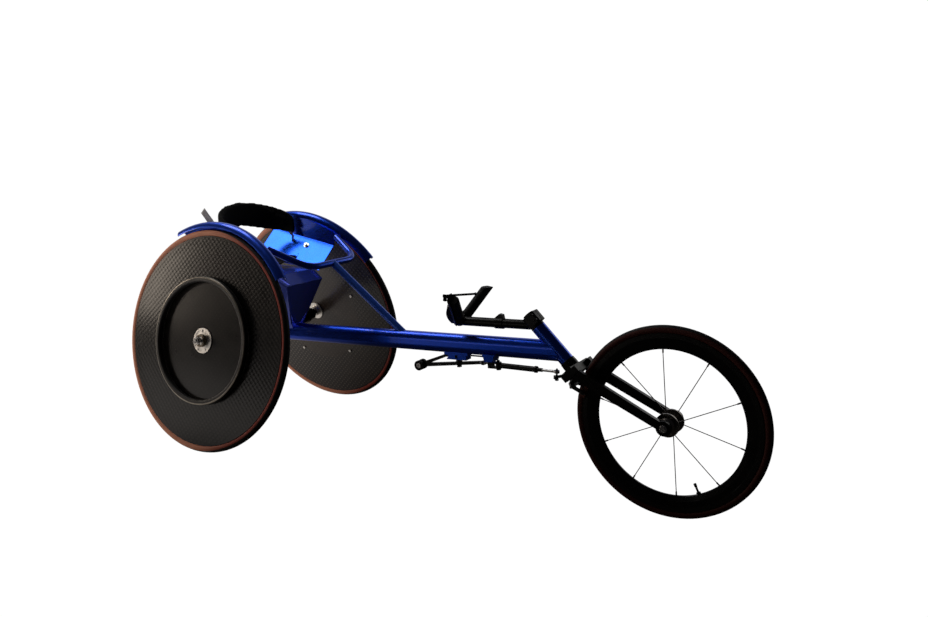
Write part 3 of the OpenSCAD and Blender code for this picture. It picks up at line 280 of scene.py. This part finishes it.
def tyre_look(name, centre, up, out, bed, line, outer, colour, rear=None):
    """Black rubber with a coloured sidewall above the bed and a fine file tread.

    Given a paler tint, the sidewall's colour fades to it toward the wheel's back and its edge runs up to
    the tread there;
    both are painted light on the lit back of the tyre.
    """
    look = Look(name, specular_ior_level=0.35)
    x, w, n, r = wheel_coords(look, centre, up, out)
    turn = look.math("ARCTAN2", w, x)
    rubber = look.ramp(look.noise(45.0, 5.0, 0.6), [(0.3, (0.0030, 0.0026, 0.0024)),
                                                    (0.75, (0.0090, 0.0080, 0.0074))])
    red = look.ramp(look.noise(30.0, 4.0), [(0.3, tuple(0.8 * v for v in colour)), (0.7, colour)])
    edge = r
    # Painted light: toward the lit back of the wheel the sidewall turns paler and its coloured band reaches
    # the tread.
    if rear:
        back = look.node("ShaderNodeMapRange", [(0, look.math("DIVIDE", x, r)), (1, 0.55), (2, -0.15)],
                         interpolation_type="SMOOTHSTEP").outputs[0]
        red = look.mix(back, red, look.ramp(look.noise(24.0, 4.0), [
            (0.3, tuple(0.86 * v for v in rear)), (0.7, rear)]))
        edge = look.math("SUBTRACT", r, look.math("MULTIPLY", back, 0.0062))
    mask = look.band(edge, bed - 0.02, line, 0.0005)
    dust = look.band(r, outer - 0.0018, outer + 0.01, 0.0008)
    colour_out = look.mix(mask, rubber, red)
    scuffs = look.ramp(look.noise(70.0, 6.0, 0.7), [(0.4, 0.0), (0.8, 0.5)])
    colour_out = look.mix(look.math("MULTIPLY", dust, scuffs), colour_out, (0.022, 0.019, 0.016))
    look.set("base color", colour_out)
    look.set("roughness", look.ramp(look.noise(150.0, 4.0), [(0.3, 0.52), (0.75, 0.72)]))
    step = 2 * math.pi / TREAD_STEP
    tread = look.math("MULTIPLY", look.math("SINE", look.math("MULTIPLY", turn, round(outer * step))),
                      look.math("SINE", look.math("MULTIPLY", n, step)))
    crown = look.band(r, outer - TREAD_DEPTH, outer + 0.02, 0.001)
    height = look.math("ADD", look.math("MULTIPLY", tread, crown),
                       look.math("MULTIPLY", look.noise(600.0, 2.0), 0.5))
    look.set("normal", look.bump(height, 0.00012))
    return look.mat


def rubber(name, base=(0.007, 0.0064, 0.006), rough=0.6, grain=420.0, depth=0.00012):
    """Moulded rubber or plastic with a pebbled skin."""
    look = Look(name, specular_ior_level=0.3)
    look.set("base color", look.ramp(look.noise(30.0, 5.0), [(0.3, tuple(0.7 * v for v in base)),
                                                             (0.75, tuple(1.5 * v for v in base))]))
    look.set("roughness", look.ramp(look.noise(90.0, 4.0), [(0.3, rough - 0.08), (0.75, rough + 0.12)]))
    look.set("normal", look.bump(look.cells(grain), depth, look.soft_edges(0.0008)))
    return look.mat


def fabric(name, base, weave=0.0009, depth=0.00018, rough=0.85, sheen=0.5):
    """Woven cloth: crossed threads, nap and slow fading."""
    look = Look(name, sheen_weight=sheen, sheen_roughness=0.45, specular_ior_level=0.25)
    look.set("sheen tint", (0.55, 0.53, 0.52, 1.0))
    k = 2 * math.pi / weave
    split = look.node("ShaderNodeSeparateXYZ", [(0, look.coords)]).outputs
    a = look.math("SINE", look.math("MULTIPLY", look.math("ADD", split[0], split[2]), k))
    b = look.math("SINE", look.math("MULTIPLY", look.math("SUBTRACT", split[1], split[2]), k))
    cross = look.math("MULTIPLY", a, b)
    nap = look.noise(700.0, 3.0)
    fade = look.noise(11.0, 4.0)
    colour = look.ramp(fade, [(0.3, tuple(0.75 * v for v in base)), (0.75, tuple(1.35 * v for v in base))])
    look.set("base color", look.mix(look.ramp(cross, [(0.3, 0.0), (0.9, 0.35)]), colour,
                                    tuple(1.9 * v for v in base)))
    look.set("roughness", look.ramp(nap, [(0.3, rough - 0.08), (0.7, rough + 0.10)]))
    look.set("normal", look.bump(look.math("ADD", cross, nap), depth))
    return look.mat


def webbing(name, base, along_axis=(0.0, 0.0, 1.0)):
    """Woven strap: ribs across the strap and a fine nap."""
    look = Look(name, sheen_weight=0.3, specular_ior_level=0.3)
    s = look.along((0.0, 0.0, 0.0), along_axis)
    ribs = look.math("SINE", look.math("MULTIPLY", s, 2 * math.pi / 0.0016))
    nap = look.noise(800.0, 2.0)
    tone = look.ramp(look.noise(60.0, 4.0), [(0.3, tuple(0.75 * v for v in base)), (0.7, base)])
    look.set("base color", look.mix(look.ramp(ribs, [(0.2, 0.0), (1.0, 0.35)]), tone,
                                    tuple(min(1.0, 1.4 * v) for v in base)))
    look.set("roughness", look.ramp(nap, [(0.3, 0.65), (0.7, 0.85)]))
    look.set("normal", look.bump(look.math("ADD", ribs, nap), 0.00022))
    return look.mat


def push_rim_look(side):
    """Black rubber coat with a bright metallic outer crest that is partly rubbed wear and partly painted
    highlight, and bare bolt heads behind the disc.
    """
    look = Look("push_rim_" + ("left" if side > 0 else "right"), specular_ior_level=0.5)
    x, w, n, r = wheel_coords(look, *wheel_axes(side))
    coat = look.ramp(look.noise(60.0, 5.0, 0.65), [(0.3, (0.003, 0.0026, 0.0022)),
                                                   (0.75, (0.008, 0.007, 0.006))])
    # The outer crest band is painted pale and metallic: partly rubbed wear, partly a painted highlight
    # line.
    edge = look.math("MULTIPLY", look.band(n, 0.0292, 0.05, 0.0006), look.band(r, 0.1865, 0.1925, 0.0010))
    patch = look.ramp(look.noise(9.0, 4.0), [(0.35, 0.35), (0.6, 0.95)])
    wear_and_highlight = look.math("MULTIPLY", edge, patch)
    head = look.band(n, -0.1, -0.0093, 0.0003)
    colour = look.mix(wear_and_highlight, coat, (0.42, 0.38, 0.32))
    look.set("base color", look.mix(head, colour, (0.8, 0.78, 0.74)))
    look.set("metallic", look.math("MAXIMUM", head, look.math("MULTIPLY", wear_and_highlight, 0.8)))
    look.set("roughness", look.mix(look.math("MAXIMUM", head, wear_and_highlight), look.ramp(
        look.noise(140.0, 4.0), [(0.3, 0.40), (0.75, 0.62)]), (0.3, 0.3, 0.3)))
    look.set("normal", look.bump(look.cells(700.0), 0.00010, look.soft_edges(0.0008)))
    return look.mat


def hub_look(side):
    """Rear hub shell: turned silver faces round a bronze-grey boss."""
    centre, up, out = wheel_axes(side)
    look = Look("hub_" + ("left" if side > 0 else "right"), metallic=1.0)
    x, w, n, r = wheel_coords(look, centre, up, out)
    grain = look.noise(1.0, 2.0, 0.5, look.node("ShaderNodeCombineXYZ", [
        (0, look.math("MULTIPLY", r, 3000.0)), (1, look.math("MULTIPLY", n, 3000.0))]).outputs[0])
    silver = look.ramp(look.noise(50.0, 4.0), [(0.3, (0.78, 0.75, 0.70)), (0.7, (0.96, 0.93, 0.89))])
    bronze = look.ramp(look.noise(80.0, 4.0), [(0.3, (0.12, 0.10, 0.075)), (0.7, (0.24, 0.20, 0.155))])
    boss = look.math("MULTIPLY", look.band(r, -1.0, 0.0195, 0.0004), look.band(n, 0.0148, 1.0, 0.0003))
    sleeve = look.math("MULTIPLY", look.band(r, -1.0, 0.0120, 0.0004), look.band(n, -1.0, -0.0252, 0.0004))
    colour = look.mix(boss, silver, bronze)
    look.set("base color", look.mix(sleeve, colour, (0.02, 0.02, 0.02)))
    look.set("roughness", look.ramp(grain, [(0.3, 0.30), (0.7, 0.44)]))
    look.set("normal", look.bump(grain, 0.00002, look.soft_edges(0.0006)))
    return look.mat


def front_rim_look():
    """Deep glossy carbon rim with a satin brake track."""
    look = Look("front_rim_carbon", coat_weight=0.2, coat_roughness=0.10, specular_ior_level=0.2)
    x, w, n, r = wheel_coords(look, FRONT_HUB, (0.0, 0.0, 1.0), (0.0, -1.0, 0.0))
    turn = look.math("ARCTAN2", w, x)
    twill = look.math("SINE", look.math("ADD", look.math("MULTIPLY", turn, 380.0),
                                        look.math("MULTIPLY", r, 2 * math.pi / 0.003)))
    dark = look.ramp(twill, [(0.2, (0.0015, 0.0013, 0.0012)), (0.9, (0.0040, 0.0034, 0.0030))])
    track = look.band(r, FRONT_BED - BRAKE_TRACK, FRONT_BED + 0.01, 0.0003)
    look.set("base color", look.mix(track, dark, (0.008, 0.0072, 0.0068)))
    look.set("roughness", look.mix(track, look.ramp(look.noise(30.0, 5.0), [(0.3, 0.22), (0.75, 0.36)]),
                                   (0.45, 0.45, 0.45)))
    rings = look.math("SINE", look.math("MULTIPLY", r, 2 * math.pi / 0.0009))
    grooves = look.math("MULTIPLY", rings, track)
    look.set("normal", look.bump(grooves, 0.00004, look.soft_edges(0.001)))
    return look.mat


def caliper_look(name):
    """Black forged arm; the pad holder behind it is brown-red rubber."""
    look = Look(name, metallic=0.2, coat_weight=0.3, coat_roughness=0.15)
    px = look.along(FRONT_HUB, (-0.9284, 0, 0.3715))
    py = look.along((0.0, 0.0, 0.0), (0.0, 1.0, 0.0))
    near = look.band(look.math("ABSOLUTE", py), -1.0, 0.0205, 0.0003)
    pad = look.math("MULTIPLY", look.band(px, 0.2155, 0.2265, 0.0002), near)
    alloy = look.ramp(look.noise(40.0, 4.0), [(0.3, (0.004, 0.0035, 0.0035)), (0.7, (0.012, 0.010, 0.009))])
    red = look.ramp(look.noise(120.0, 4.0), [(0.3, (0.09, 0.02, 0.012)), (0.7, (0.16, 0.035, 0.02))])
    # The arm's edges are painted paler: partly rubbed wear, partly painted edge highlight.
    look.set("base color", look.mix(pad, look.mix(look.edge_mask(0.0008), alloy, (0.09, 0.08, 0.075)), red))
    look.set("roughness", look.ramp(look.noise(200.0, 4.0), [(0.3, 0.28), (0.7, 0.48)]))
    look.set("normal", look.bump(look.noise(900.0, 2.0), 0.00003, look.soft_edges(0.0007)))
    return look.mat


BLUE = (0.012, 0.085, 0.72)
NAVY = (0.008, 0.055, 0.52)
looks = {
    "frame": paint("frame_blue", BLUE, NAVY),
    # The beam, side panels, knee tray and brace take lighter copies of the frame's blue; the difference is
    # painted light.
    "beam": paint("beam_blue", (0.013, 0.085, 0.80), (0.010, 0.068, 0.68), 0.32, 0.4),
    "cage": paint("cage_blue", (0.007, 0.13, 1.0), (0.006, 0.10, 0.88), 0.22, 0.12),
    "keel": paint("keel_blue", (0.09, 0.16, 0.90), (0.07, 0.13, 0.76), 0.34, 0.5, 0.6),
    "brace": paint("brace_blue", (0.045, 0.19, 1.0), (0.034, 0.15, 0.90), 0.36, 0.4, 0.5),
    "fender": paint("fender_blue", (0.012, 0.085, 0.72), (0.009, 0.065, 0.58), 0.34, 0.45, 0.75),
    "black": black_metal("black_alloy"),
    "gloss_black": black_metal("gloss_black", 0.003, 0.24, (1.0, 0.85, 0.75), 0.02),
    "steel": bright_metal("bright_steel", (0.72, 0.71, 0.70), 0.24),
    "alloy": bright_metal("polished_alloy", (0.80, 0.79, 0.77), 0.20),
    "spoke": bright_metal("spoke_wire", (0.20, 0.185, 0.17), 0.30),
    "grey_hub": bright_metal("grey_hub", (0.26, 0.235, 0.215), 0.30),
    "plastic": rubber("moulded_plastic", (0.006, 0.0055, 0.0052), 0.34, 1500.0, 0.00004),
    "rubber": rubber("grip_rubber"),
    "grip": rubber("grip_sleeve", (0.010, 0.0085, 0.0075), 0.62, 330.0, 0.00030),
    "rim": front_rim_look(),
    "caliper": caliper_look("caliper"),
    # The front tyre's sidewall red is painted darker than the rear tyres' red, as painted shade.
    "tyre_front": tyre_look("tyre_front", FRONT_HUB, (0.0, 0.0, 1.0), (0.0, -1.0, 0.0),
                            FRONT_BED, FRONT_LINE, FRONT_TYRE_R, (0.075, 0.009, 0.005)),
}
for side, word in ((-1, "right"), (1, "left")):
    looks["disc_" + word] = disc_look(side)
    looks["hub_" + word] = hub_look(side)
    looks["push_" + word] = push_rim_look(side)
    # The pale peach tint passed last is painted light on the lit back of each rear tyre.
    looks["tyre_" + word] = tyre_look("tyre_" + word, *wheel_axes(side), REAR_BED, REAR_LINE, REAR_TYRE_R,
                                      (0.34, 0.026, 0.010), (0.96, 0.40, 0.25))

NODE_LOOKS = {
    "frame": "head_tube loop_bar fender_left compensator_brackets camber_bar",
    "brace": "brace_tube",
    "fender": "fender_right",
    "beam": "main_beam",
    "cage": "side_panel_right side_panel_left",
    "keel": "knee_tray keel_plates",
    "black": "camber_sleeves headset damper_clevis track_lever damper_body fork_crown stem "
             "handlebar bar_clamp steering_arm brake_lever steerer stem_bolts compensator_pins",
    "gloss_black": "fork_blade_right fork_blade_left",
    "steel": "cage_bolts lever_screws damper_rod front_axle caliper_bolt bearings_right bearings_left "
             "front_bearings",
    "alloy": "rear_axle_right rear_axle_left",
    "spoke": "front_spokes",
    "grey_hub": "front_hub",
    "plastic": "lever_hood front_valve",
    "rubber": "lever_knob",
    "grip": "grip_right grip_left",
    "rim": "front_rim",
    "caliper": "caliper_arm_right caliper_arm_left",
    "tyre_front": "front_tyre",
    "disc_right": "disc_right", "disc_left": "disc_left",
    "hub_right": "hub_right", "hub_left": "hub_left",
    "push_right": "push_rim_right", "push_left": "push_rim_left",
    "tyre_right": "tyre_right", "tyre_left": "tyre_left",
}


def wear(obj, material):
    """Puts one material on every slot of an object."""
    if not obj.material_slots:
        obj.data.materials.append(material)
    for place in obj.material_slots:
        place.material = material


for key, names in NODE_LOOKS.items():
    for name in names.split():
        wear(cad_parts[name], looks[key])


# New pieces
ROOT = "chair_frame"


def new_piece(name, verts, faces, material, body):
    """A new smooth mesh that rides on a body and has a material slot."""
    data = bpy.data.meshes.new(name)
    data.from_pydata([tuple(v) for v in verts], [], faces)
    data.update()
    obj = bpy.data.objects.new(name, data)
    bpy.context.scene.collection.objects.link(obj)
    data.materials.append(material)
    for face in data.polygons:
        face.use_smooth = True
    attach(obj, body)
    return obj


def evaluated_copy(obj):
    """Replaces an object's mesh with the one its modifiers make."""
    graph = bpy.context.evaluated_depsgraph_get()
    data = bpy.data.meshes.new_from_object(obj.evaluated_get(graph))
    obj.modifiers.clear()
    obj.data = data


def pad_from(node, name, voxel, shrink, pressure, cap, material, pins=None):
    """A stuffed pad: the CAD soft solid remeshed, shrunk a little and blown up as cloth."""
    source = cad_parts[node]
    obj = bpy.data.objects.new(name, source.data.copy())
    bpy.context.scene.collection.objects.link(obj)
    obj.data.materials.clear()
    obj.data.materials.append(material)
    bm = bmesh.new()
    bm.from_mesh(obj.data)
    bmesh.ops.remove_doubles(bm, verts=bm.verts, dist=1e-5)
    bm.to_mesh(obj.data)
    bm.free()
    remesh = obj.modifiers.new("remesh", "REMESH")
    remesh.mode = "VOXEL"
    remesh.voxel_size = voxel
    evaluated_copy(obj)
    smooth = obj.modifiers.new("smooth", "SMOOTH")
    smooth.factor = 0.5
    smooth.iterations = 3
    evaluated_copy(obj)
    for vert in obj.data.vertices:
        vert.co -= vert.normal * shrink
    rest = [vert.co.copy() for vert in obj.data.vertices]
    if pins:
        group = obj.vertex_groups.new(name="pins")
        for vert in obj.data.vertices:
            weight = pins(vert.co)
            if weight > 0:
                group.add([vert.index], weight, "REPLACE")
    cloth = obj.modifiers.new("cloth", "CLOTH")
    settings = cloth.settings
    settings.quality = 6
    settings.mass = 0.25
    settings.use_pressure = True
    settings.uniform_pressure_force = pressure
    settings.tension_stiffness = 18
    settings.compression_stiffness = 18
    settings.shear_stiffness = 8
    settings.bending_stiffness = 0.8
    settings.effector_weights.gravity = 0.0
    if pins:
        settings.vertex_group_mass = "pins"
    cloth.point_cache.frame_start = 1
    cloth.point_cache.frame_end = 20
    for number in range(1, 21):
        bpy.context.scene.frame_set(number)
    evaluated_copy(obj)
    bpy.context.scene.frame_set(1)
    for vert, before in zip(obj.data.vertices, rest):
        move = vert.co - before
        if move.length > cap:
            vert.co = before + move * (cap / move.length)
    obj.vertex_groups.clear()
    return obj


def finish_pad(obj, node):
    """Subdivides a pad once and puts it in the place of its CAD node."""
    for face in obj.data.polygons:
        face.use_smooth = True
    subdivide = obj.modifiers.new("subdivide", "SUBSURF")
    subdivide.levels = 1
    subdivide.render_levels = 1
    evaluated_copy(obj)
    for face in obj.data.polygons:
        face.use_smooth = True
    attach(obj, ROOT)
    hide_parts(node)
    return obj


# Webbing's section, in half widths across and half thicknesses through
STRAP_SECTION = ((1, 1), (0.96, 1.15), (-0.96, 1.15), (-1, 1),
                 (-1, -1), (-0.96, -1.15), (0.96, -1.15), (1, -1))


def strap(name, rings, material):
    """Flat webbing: rings are (centre, across, face) with real width and thickness."""
    verts = []
    for centre, across, face in rings:
        for a, f in STRAP_SECTION:
            verts.append(Vector(centre) + a * Vector(across) + f * Vector(face))
    n = len(STRAP_SECTION)
    faces = []
    for i in range(len(rings) - 1):
        for j in range(n):
            m = (j + 1) % n
            faces.append((i * n + j, (i + 1) * n + j, (i + 1) * n + m, i * n + m))
    faces.append(tuple(range(n)))
    faces.append(tuple((len(rings) - 1) * n + j for j in range(n - 1, -1, -1)))
    return new_piece(name, verts, faces, material, ROOT)


cloth_black = fabric("padded_nylon", (0.0016, 0.0015, 0.0015), 0.0011, 0.00016, 0.85, 0.03)
cloth_sling = fabric("sling_nylon", (0.0030, 0.0029, 0.0030), 0.0012, 0.00018, 0.85, 0.05)

back = pad_from("back_upholstery", "padded_back", 0.005, 0.0, 9.0, 0.003, cloth_black)
finish_pad(back, "back_upholstery")


def sling_pins(co):
    """Sewn channels across the sling stay down while the quilting rises between them."""
    channel = abs(((co.x + 0.7295) / 0.030) % 1.0 - 0.5) * 2
    return 1.0 if channel > 0.86 else 0.0


sling = pad_from("seat_sling", "quilted_sling", 0.004, 0.0012, 4.0, 0.004, cloth_sling, sling_pins)
finish_pad(sling, "seat_sling")

# Straps
STRAP_W = 0.024
STRAP_T = 0.0016


# Side panel's own axes on the left, as in the CAD
def wheel_point(x, w, n, side=1):
    centre, up, out = wheel_axes(side)
    return Vector(centre) + Vector((x, 0, 0)) + w * Vector(up) + n * Vector(out)


crease_front = wheel_point(0.150, 0.256, -0.027)
crease_rear = wheel_point(-0.102, 0.298, -0.027)
floor_front = Vector((REAR_X + 0.155, 0.088, 0.503))
panel_u = (crease_front - crease_rear).normalized()
panel_n = panel_u.cross(floor_front - crease_rear).normalized()
panel_v = panel_n.cross(panel_u)
slot_lean = math.radians(34)
slot_dir = math.sin(slot_lean) * panel_u + math.cos(slot_lean) * panel_v
slot_mid = (crease_rear + 0.0945 * panel_u + 0.018 * panel_v
            + (0.003 - STRAP_T - 0.0002) * panel_n.cross(slot_dir))
fall = (slot_dir.z * slot_dir - Vector((0, 0, 1))).normalized()

strap_look = webbing("strap_webbing", (0.035, 0.034, 0.034))
pale_look = webbing("pale_webbing", (0.50, 0.49, 0.50))
for s, word in ((-1, "right"), (1, "left")):
    first = Vector((REAR_X - 0.016, 0.137 + 0.017 * 0.3 + STRAP_T / 2, 0.622))
    bend = first + Vector((0, 0.005, -0.006))
    low = slot_mid - 0.004 * fall
    turn = low - 0.006 * fall
    flip = Matrix.Diagonal((1, s, 1))
    rings = [(first + Vector((0, 0, 0.018)), Vector((1, 0, 0)), Vector((0, -1, 0)))]
    for i in range(21):
        t = i / 20
        c = (1 - t) ** 3 * first + 3 * t * (1 - t) ** 2 * bend + 3 * t * t * (1 - t) * turn + t ** 3 * low
        heading = ((1 - t) ** 2 * (bend - first) + 2 * t * (1 - t) * (turn - bend)
                   + t * t * (low - turn)).normalized()
        weight = t ** 1.4
        across = (1 - weight) * Vector((1, 0, 0)) + weight * slot_dir
        across = (across - across.dot(heading) * heading).normalized()
        rings.append((c, across, heading.cross(across)))
    rings.append((slot_mid + 0.016 * fall, slot_dir, fall.cross(slot_dir)))
    made = strap("back_strap_" + word, [(flip @ c, flip @ (a * STRAP_W / 2), flip @ (f * STRAP_T / 2))
                                        for c, a, f in rings], strap_look)
    if s < 0:
        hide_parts("back_straps")

# Loose tail of grey webbing that leans back from behind the near fender
TAIL_W = 0.020
TAIL_LEN = 0.124
TAIL_LEAN = math.radians(52)
centre, up, out = wheel_axes(-1)
rings = []
for i in range(13):
    reach = TAIL_LEN * i / 12
    x = -0.008 + TAIL_W / 2 * math.cos(TAIL_LEAN) - reach * math.sin(TAIL_LEAN)
    w = 0.304 + TAIL_W / 2 * math.sin(TAIL_LEAN) + reach * math.cos(TAIL_LEAN)
    curl = -0.006 * max(0.0, i / 12 - 0.5) ** 2
    across = math.cos(TAIL_LEAN) * Vector((1, 0, 0)) + math.sin(TAIL_LEAN) * Vector(up)
    rings.append((wheel_point(x, w, -0.0273 - STRAP_T / 2 + curl, -1), across * TAIL_W / 2,
                  Vector(out) * STRAP_T / 2))
strap("strap_tail", rings, pale_look)

# Stage
scene = bpy.context.scene


def point_camera():
    a, e, roll = map(math.radians, (AZIMUTH, ELEVATION, ROLL))
    back = Vector((math.sin(a) * math.cos(e), -math.cos(a) * math.cos(e), math.sin(e)))
    right = Vector((math.cos(a), math.sin(a), 0))
    up = back.cross(right)
    right, up = (math.cos(roll) * right + math.sin(roll) * up,
                 -math.sin(roll) * right + math.cos(roll) * up)
    data = bpy.data.cameras.new("camera")
    data.lens = LENS
    data.sensor_width = 36
    data.clip_end = 60
    cam = bpy.data.objects.new("camera", data)
    scene.collection.objects.link(cam)
    cam.matrix_world = Matrix((
        (right.x, up.x, back.x, CAMERA_AT[0]),
        (right.y, up.y, back.y, CAMERA_AT[1]),
        (right.z, up.z, back.z, CAMERA_AT[2]),
        (0, 0, 0, 1)))
    scene.camera = cam


def area_light(name, at, target, size, power, colour=(1, 1, 1)):
    data = bpy.data.lights.new(name, "AREA")
    data.shape = "RECTANGLE"
    data.size, data.size_y = size
    data.energy = power
    data.color = colour
    obj = bpy.data.objects.new(name, data)
    scene.collection.objects.link(obj)
    obj.location = at
    obj.rotation_euler = (Vector(target) - Vector(at)).to_track_quat("-Z", "Y").to_euler()
    return obj


def studio_world():
    """White for the camera; for reflections a bright backdrop behind the chair and a dark room in front."""
    world = bpy.data.worlds.new("studio")
    scene.world = world
    world.use_nodes = True
    tree = world.node_tree
    tree.nodes.clear()
    new = tree.nodes.new
    link = tree.links.new
    out = new("ShaderNodeOutputWorld")
    seen = new("ShaderNodeBackground")
    seen.inputs[0].default_value = (1, 1, 1, 1)
    seen.inputs[1].default_value = 1.05
    room = new("ShaderNodeBackground")
    room.inputs[1].default_value = 1.0
    mixer = new("ShaderNodeMixShader")
    ray = new("ShaderNodeLightPath")
    link(ray.outputs["Is Camera Ray"], mixer.inputs[0])
    link(room.outputs[0], mixer.inputs[1])
    link(seen.outputs[0], mixer.inputs[2])
    link(mixer.outputs[0], out.inputs[0])
    coords = new("ShaderNodeTexCoord")
    toward = new("ShaderNodeVectorMath")
    toward.operation = "DOT_PRODUCT"
    toward.inputs[1].default_value = (-0.62, 0.78, 0.02)
    link(coords.outputs["Generated"], toward.inputs[0])
    ramp = new("ShaderNodeValToRGB")
    ramp.color_ramp.elements[0].position = 0.55
    ramp.color_ramp.elements[0].color = (0.012, 0.012, 0.014, 1)
    ramp.color_ramp.elements[1].position = 0.92
    ramp.color_ramp.elements[1].color = (0.50, 0.51, 0.54, 1)
    link(toward.outputs["Value"], ramp.inputs[0])
    link(ramp.outputs[0], room.inputs[0])


def pale_floor():
    size = 14.0
    data = bpy.data.meshes.new("floor")
    corners = [(-size, -size, 0), (size, -size, 0), (size, size, 0), (-size, size, 0)]
    data.from_pydata(corners, [], [(0, 1, 2, 3)])
    obj = bpy.data.objects.new("floor", data)
    scene.collection.objects.link(obj)
    mat = bpy.data.materials.new("studio_floor")
    mat.use_nodes = True
    tree = mat.node_tree
    tree.nodes.clear()
    out = tree.nodes.new("ShaderNodeOutputMaterial")
    glow = tree.nodes.new("ShaderNodeEmission")
    glow.inputs[0].default_value = (1, 1, 1, 1)
    glow.inputs[1].default_value = 1.10
    matte = tree.nodes.new("ShaderNodeBsdfDiffuse")
    matte.inputs[0].default_value = (0.8, 0.8, 0.8, 1)
    share = tree.nodes.new("ShaderNodeMixShader")
    share.inputs[0].default_value = 0.08
    # Other rays see a floor that is bright behind and to the left of the chair and dark in front
    place = tree.nodes.new("ShaderNodeTexCoord")
    split = tree.nodes.new("ShaderNodeSeparateXYZ")
    fall = tree.nodes.new("ShaderNodeMapRange")
    fall.inputs[1].default_value = -0.45
    fall.inputs[2].default_value = -1.30
    fall.inputs[3].default_value = 0.015
    fall.inputs[4].default_value = 0.72
    bounce = tree.nodes.new("ShaderNodeEmission")
    bounce.inputs[0].default_value = (1.0, 0.93, 0.87, 1)
    plain = tree.nodes.new("ShaderNodeMixShader")
    ray = tree.nodes.new("ShaderNodeLightPath")
    tree.links.new(place.outputs["Object"], split.inputs[0])
    tree.links.new(split.outputs[0], fall.inputs[0])
    tree.links.new(fall.outputs[0], bounce.inputs[1])
    tree.links.new(glow.outputs[0], share.inputs[1])
    tree.links.new(matte.outputs[0], share.inputs[2])
    tree.links.new(ray.outputs["Is Camera Ray"], plain.inputs[0])
    tree.links.new(bounce.outputs[0], plain.inputs[1])
    tree.links.new(share.outputs[0], plain.inputs[2])
    tree.links.new(plain.outputs[0], out.inputs[0])
    data.materials.append(mat)


point_camera()
studio_world()
pale_floor()
scene.view_settings.view_transform = "Standard"
scene.view_settings.look = "None"
area_light("top", (-1.55, -0.05, 2.35), (-0.57, 0.15, 0.57), (0.9, 0.9), 11.0, (1.0, 0.98, 0.96))
area_light("wheel", (-2.45, -1.05, 0.80), (-0.7, -0.2, 0.45), (0.8, 0.7), 8.0, (1.0, 0.86, 0.72))
area_light("back", (1.2, 2.6, 1.2), (0.5, 0.0, 0.35), (1.2, 1.6), 7.0, (1.0, 0.98, 0.95))
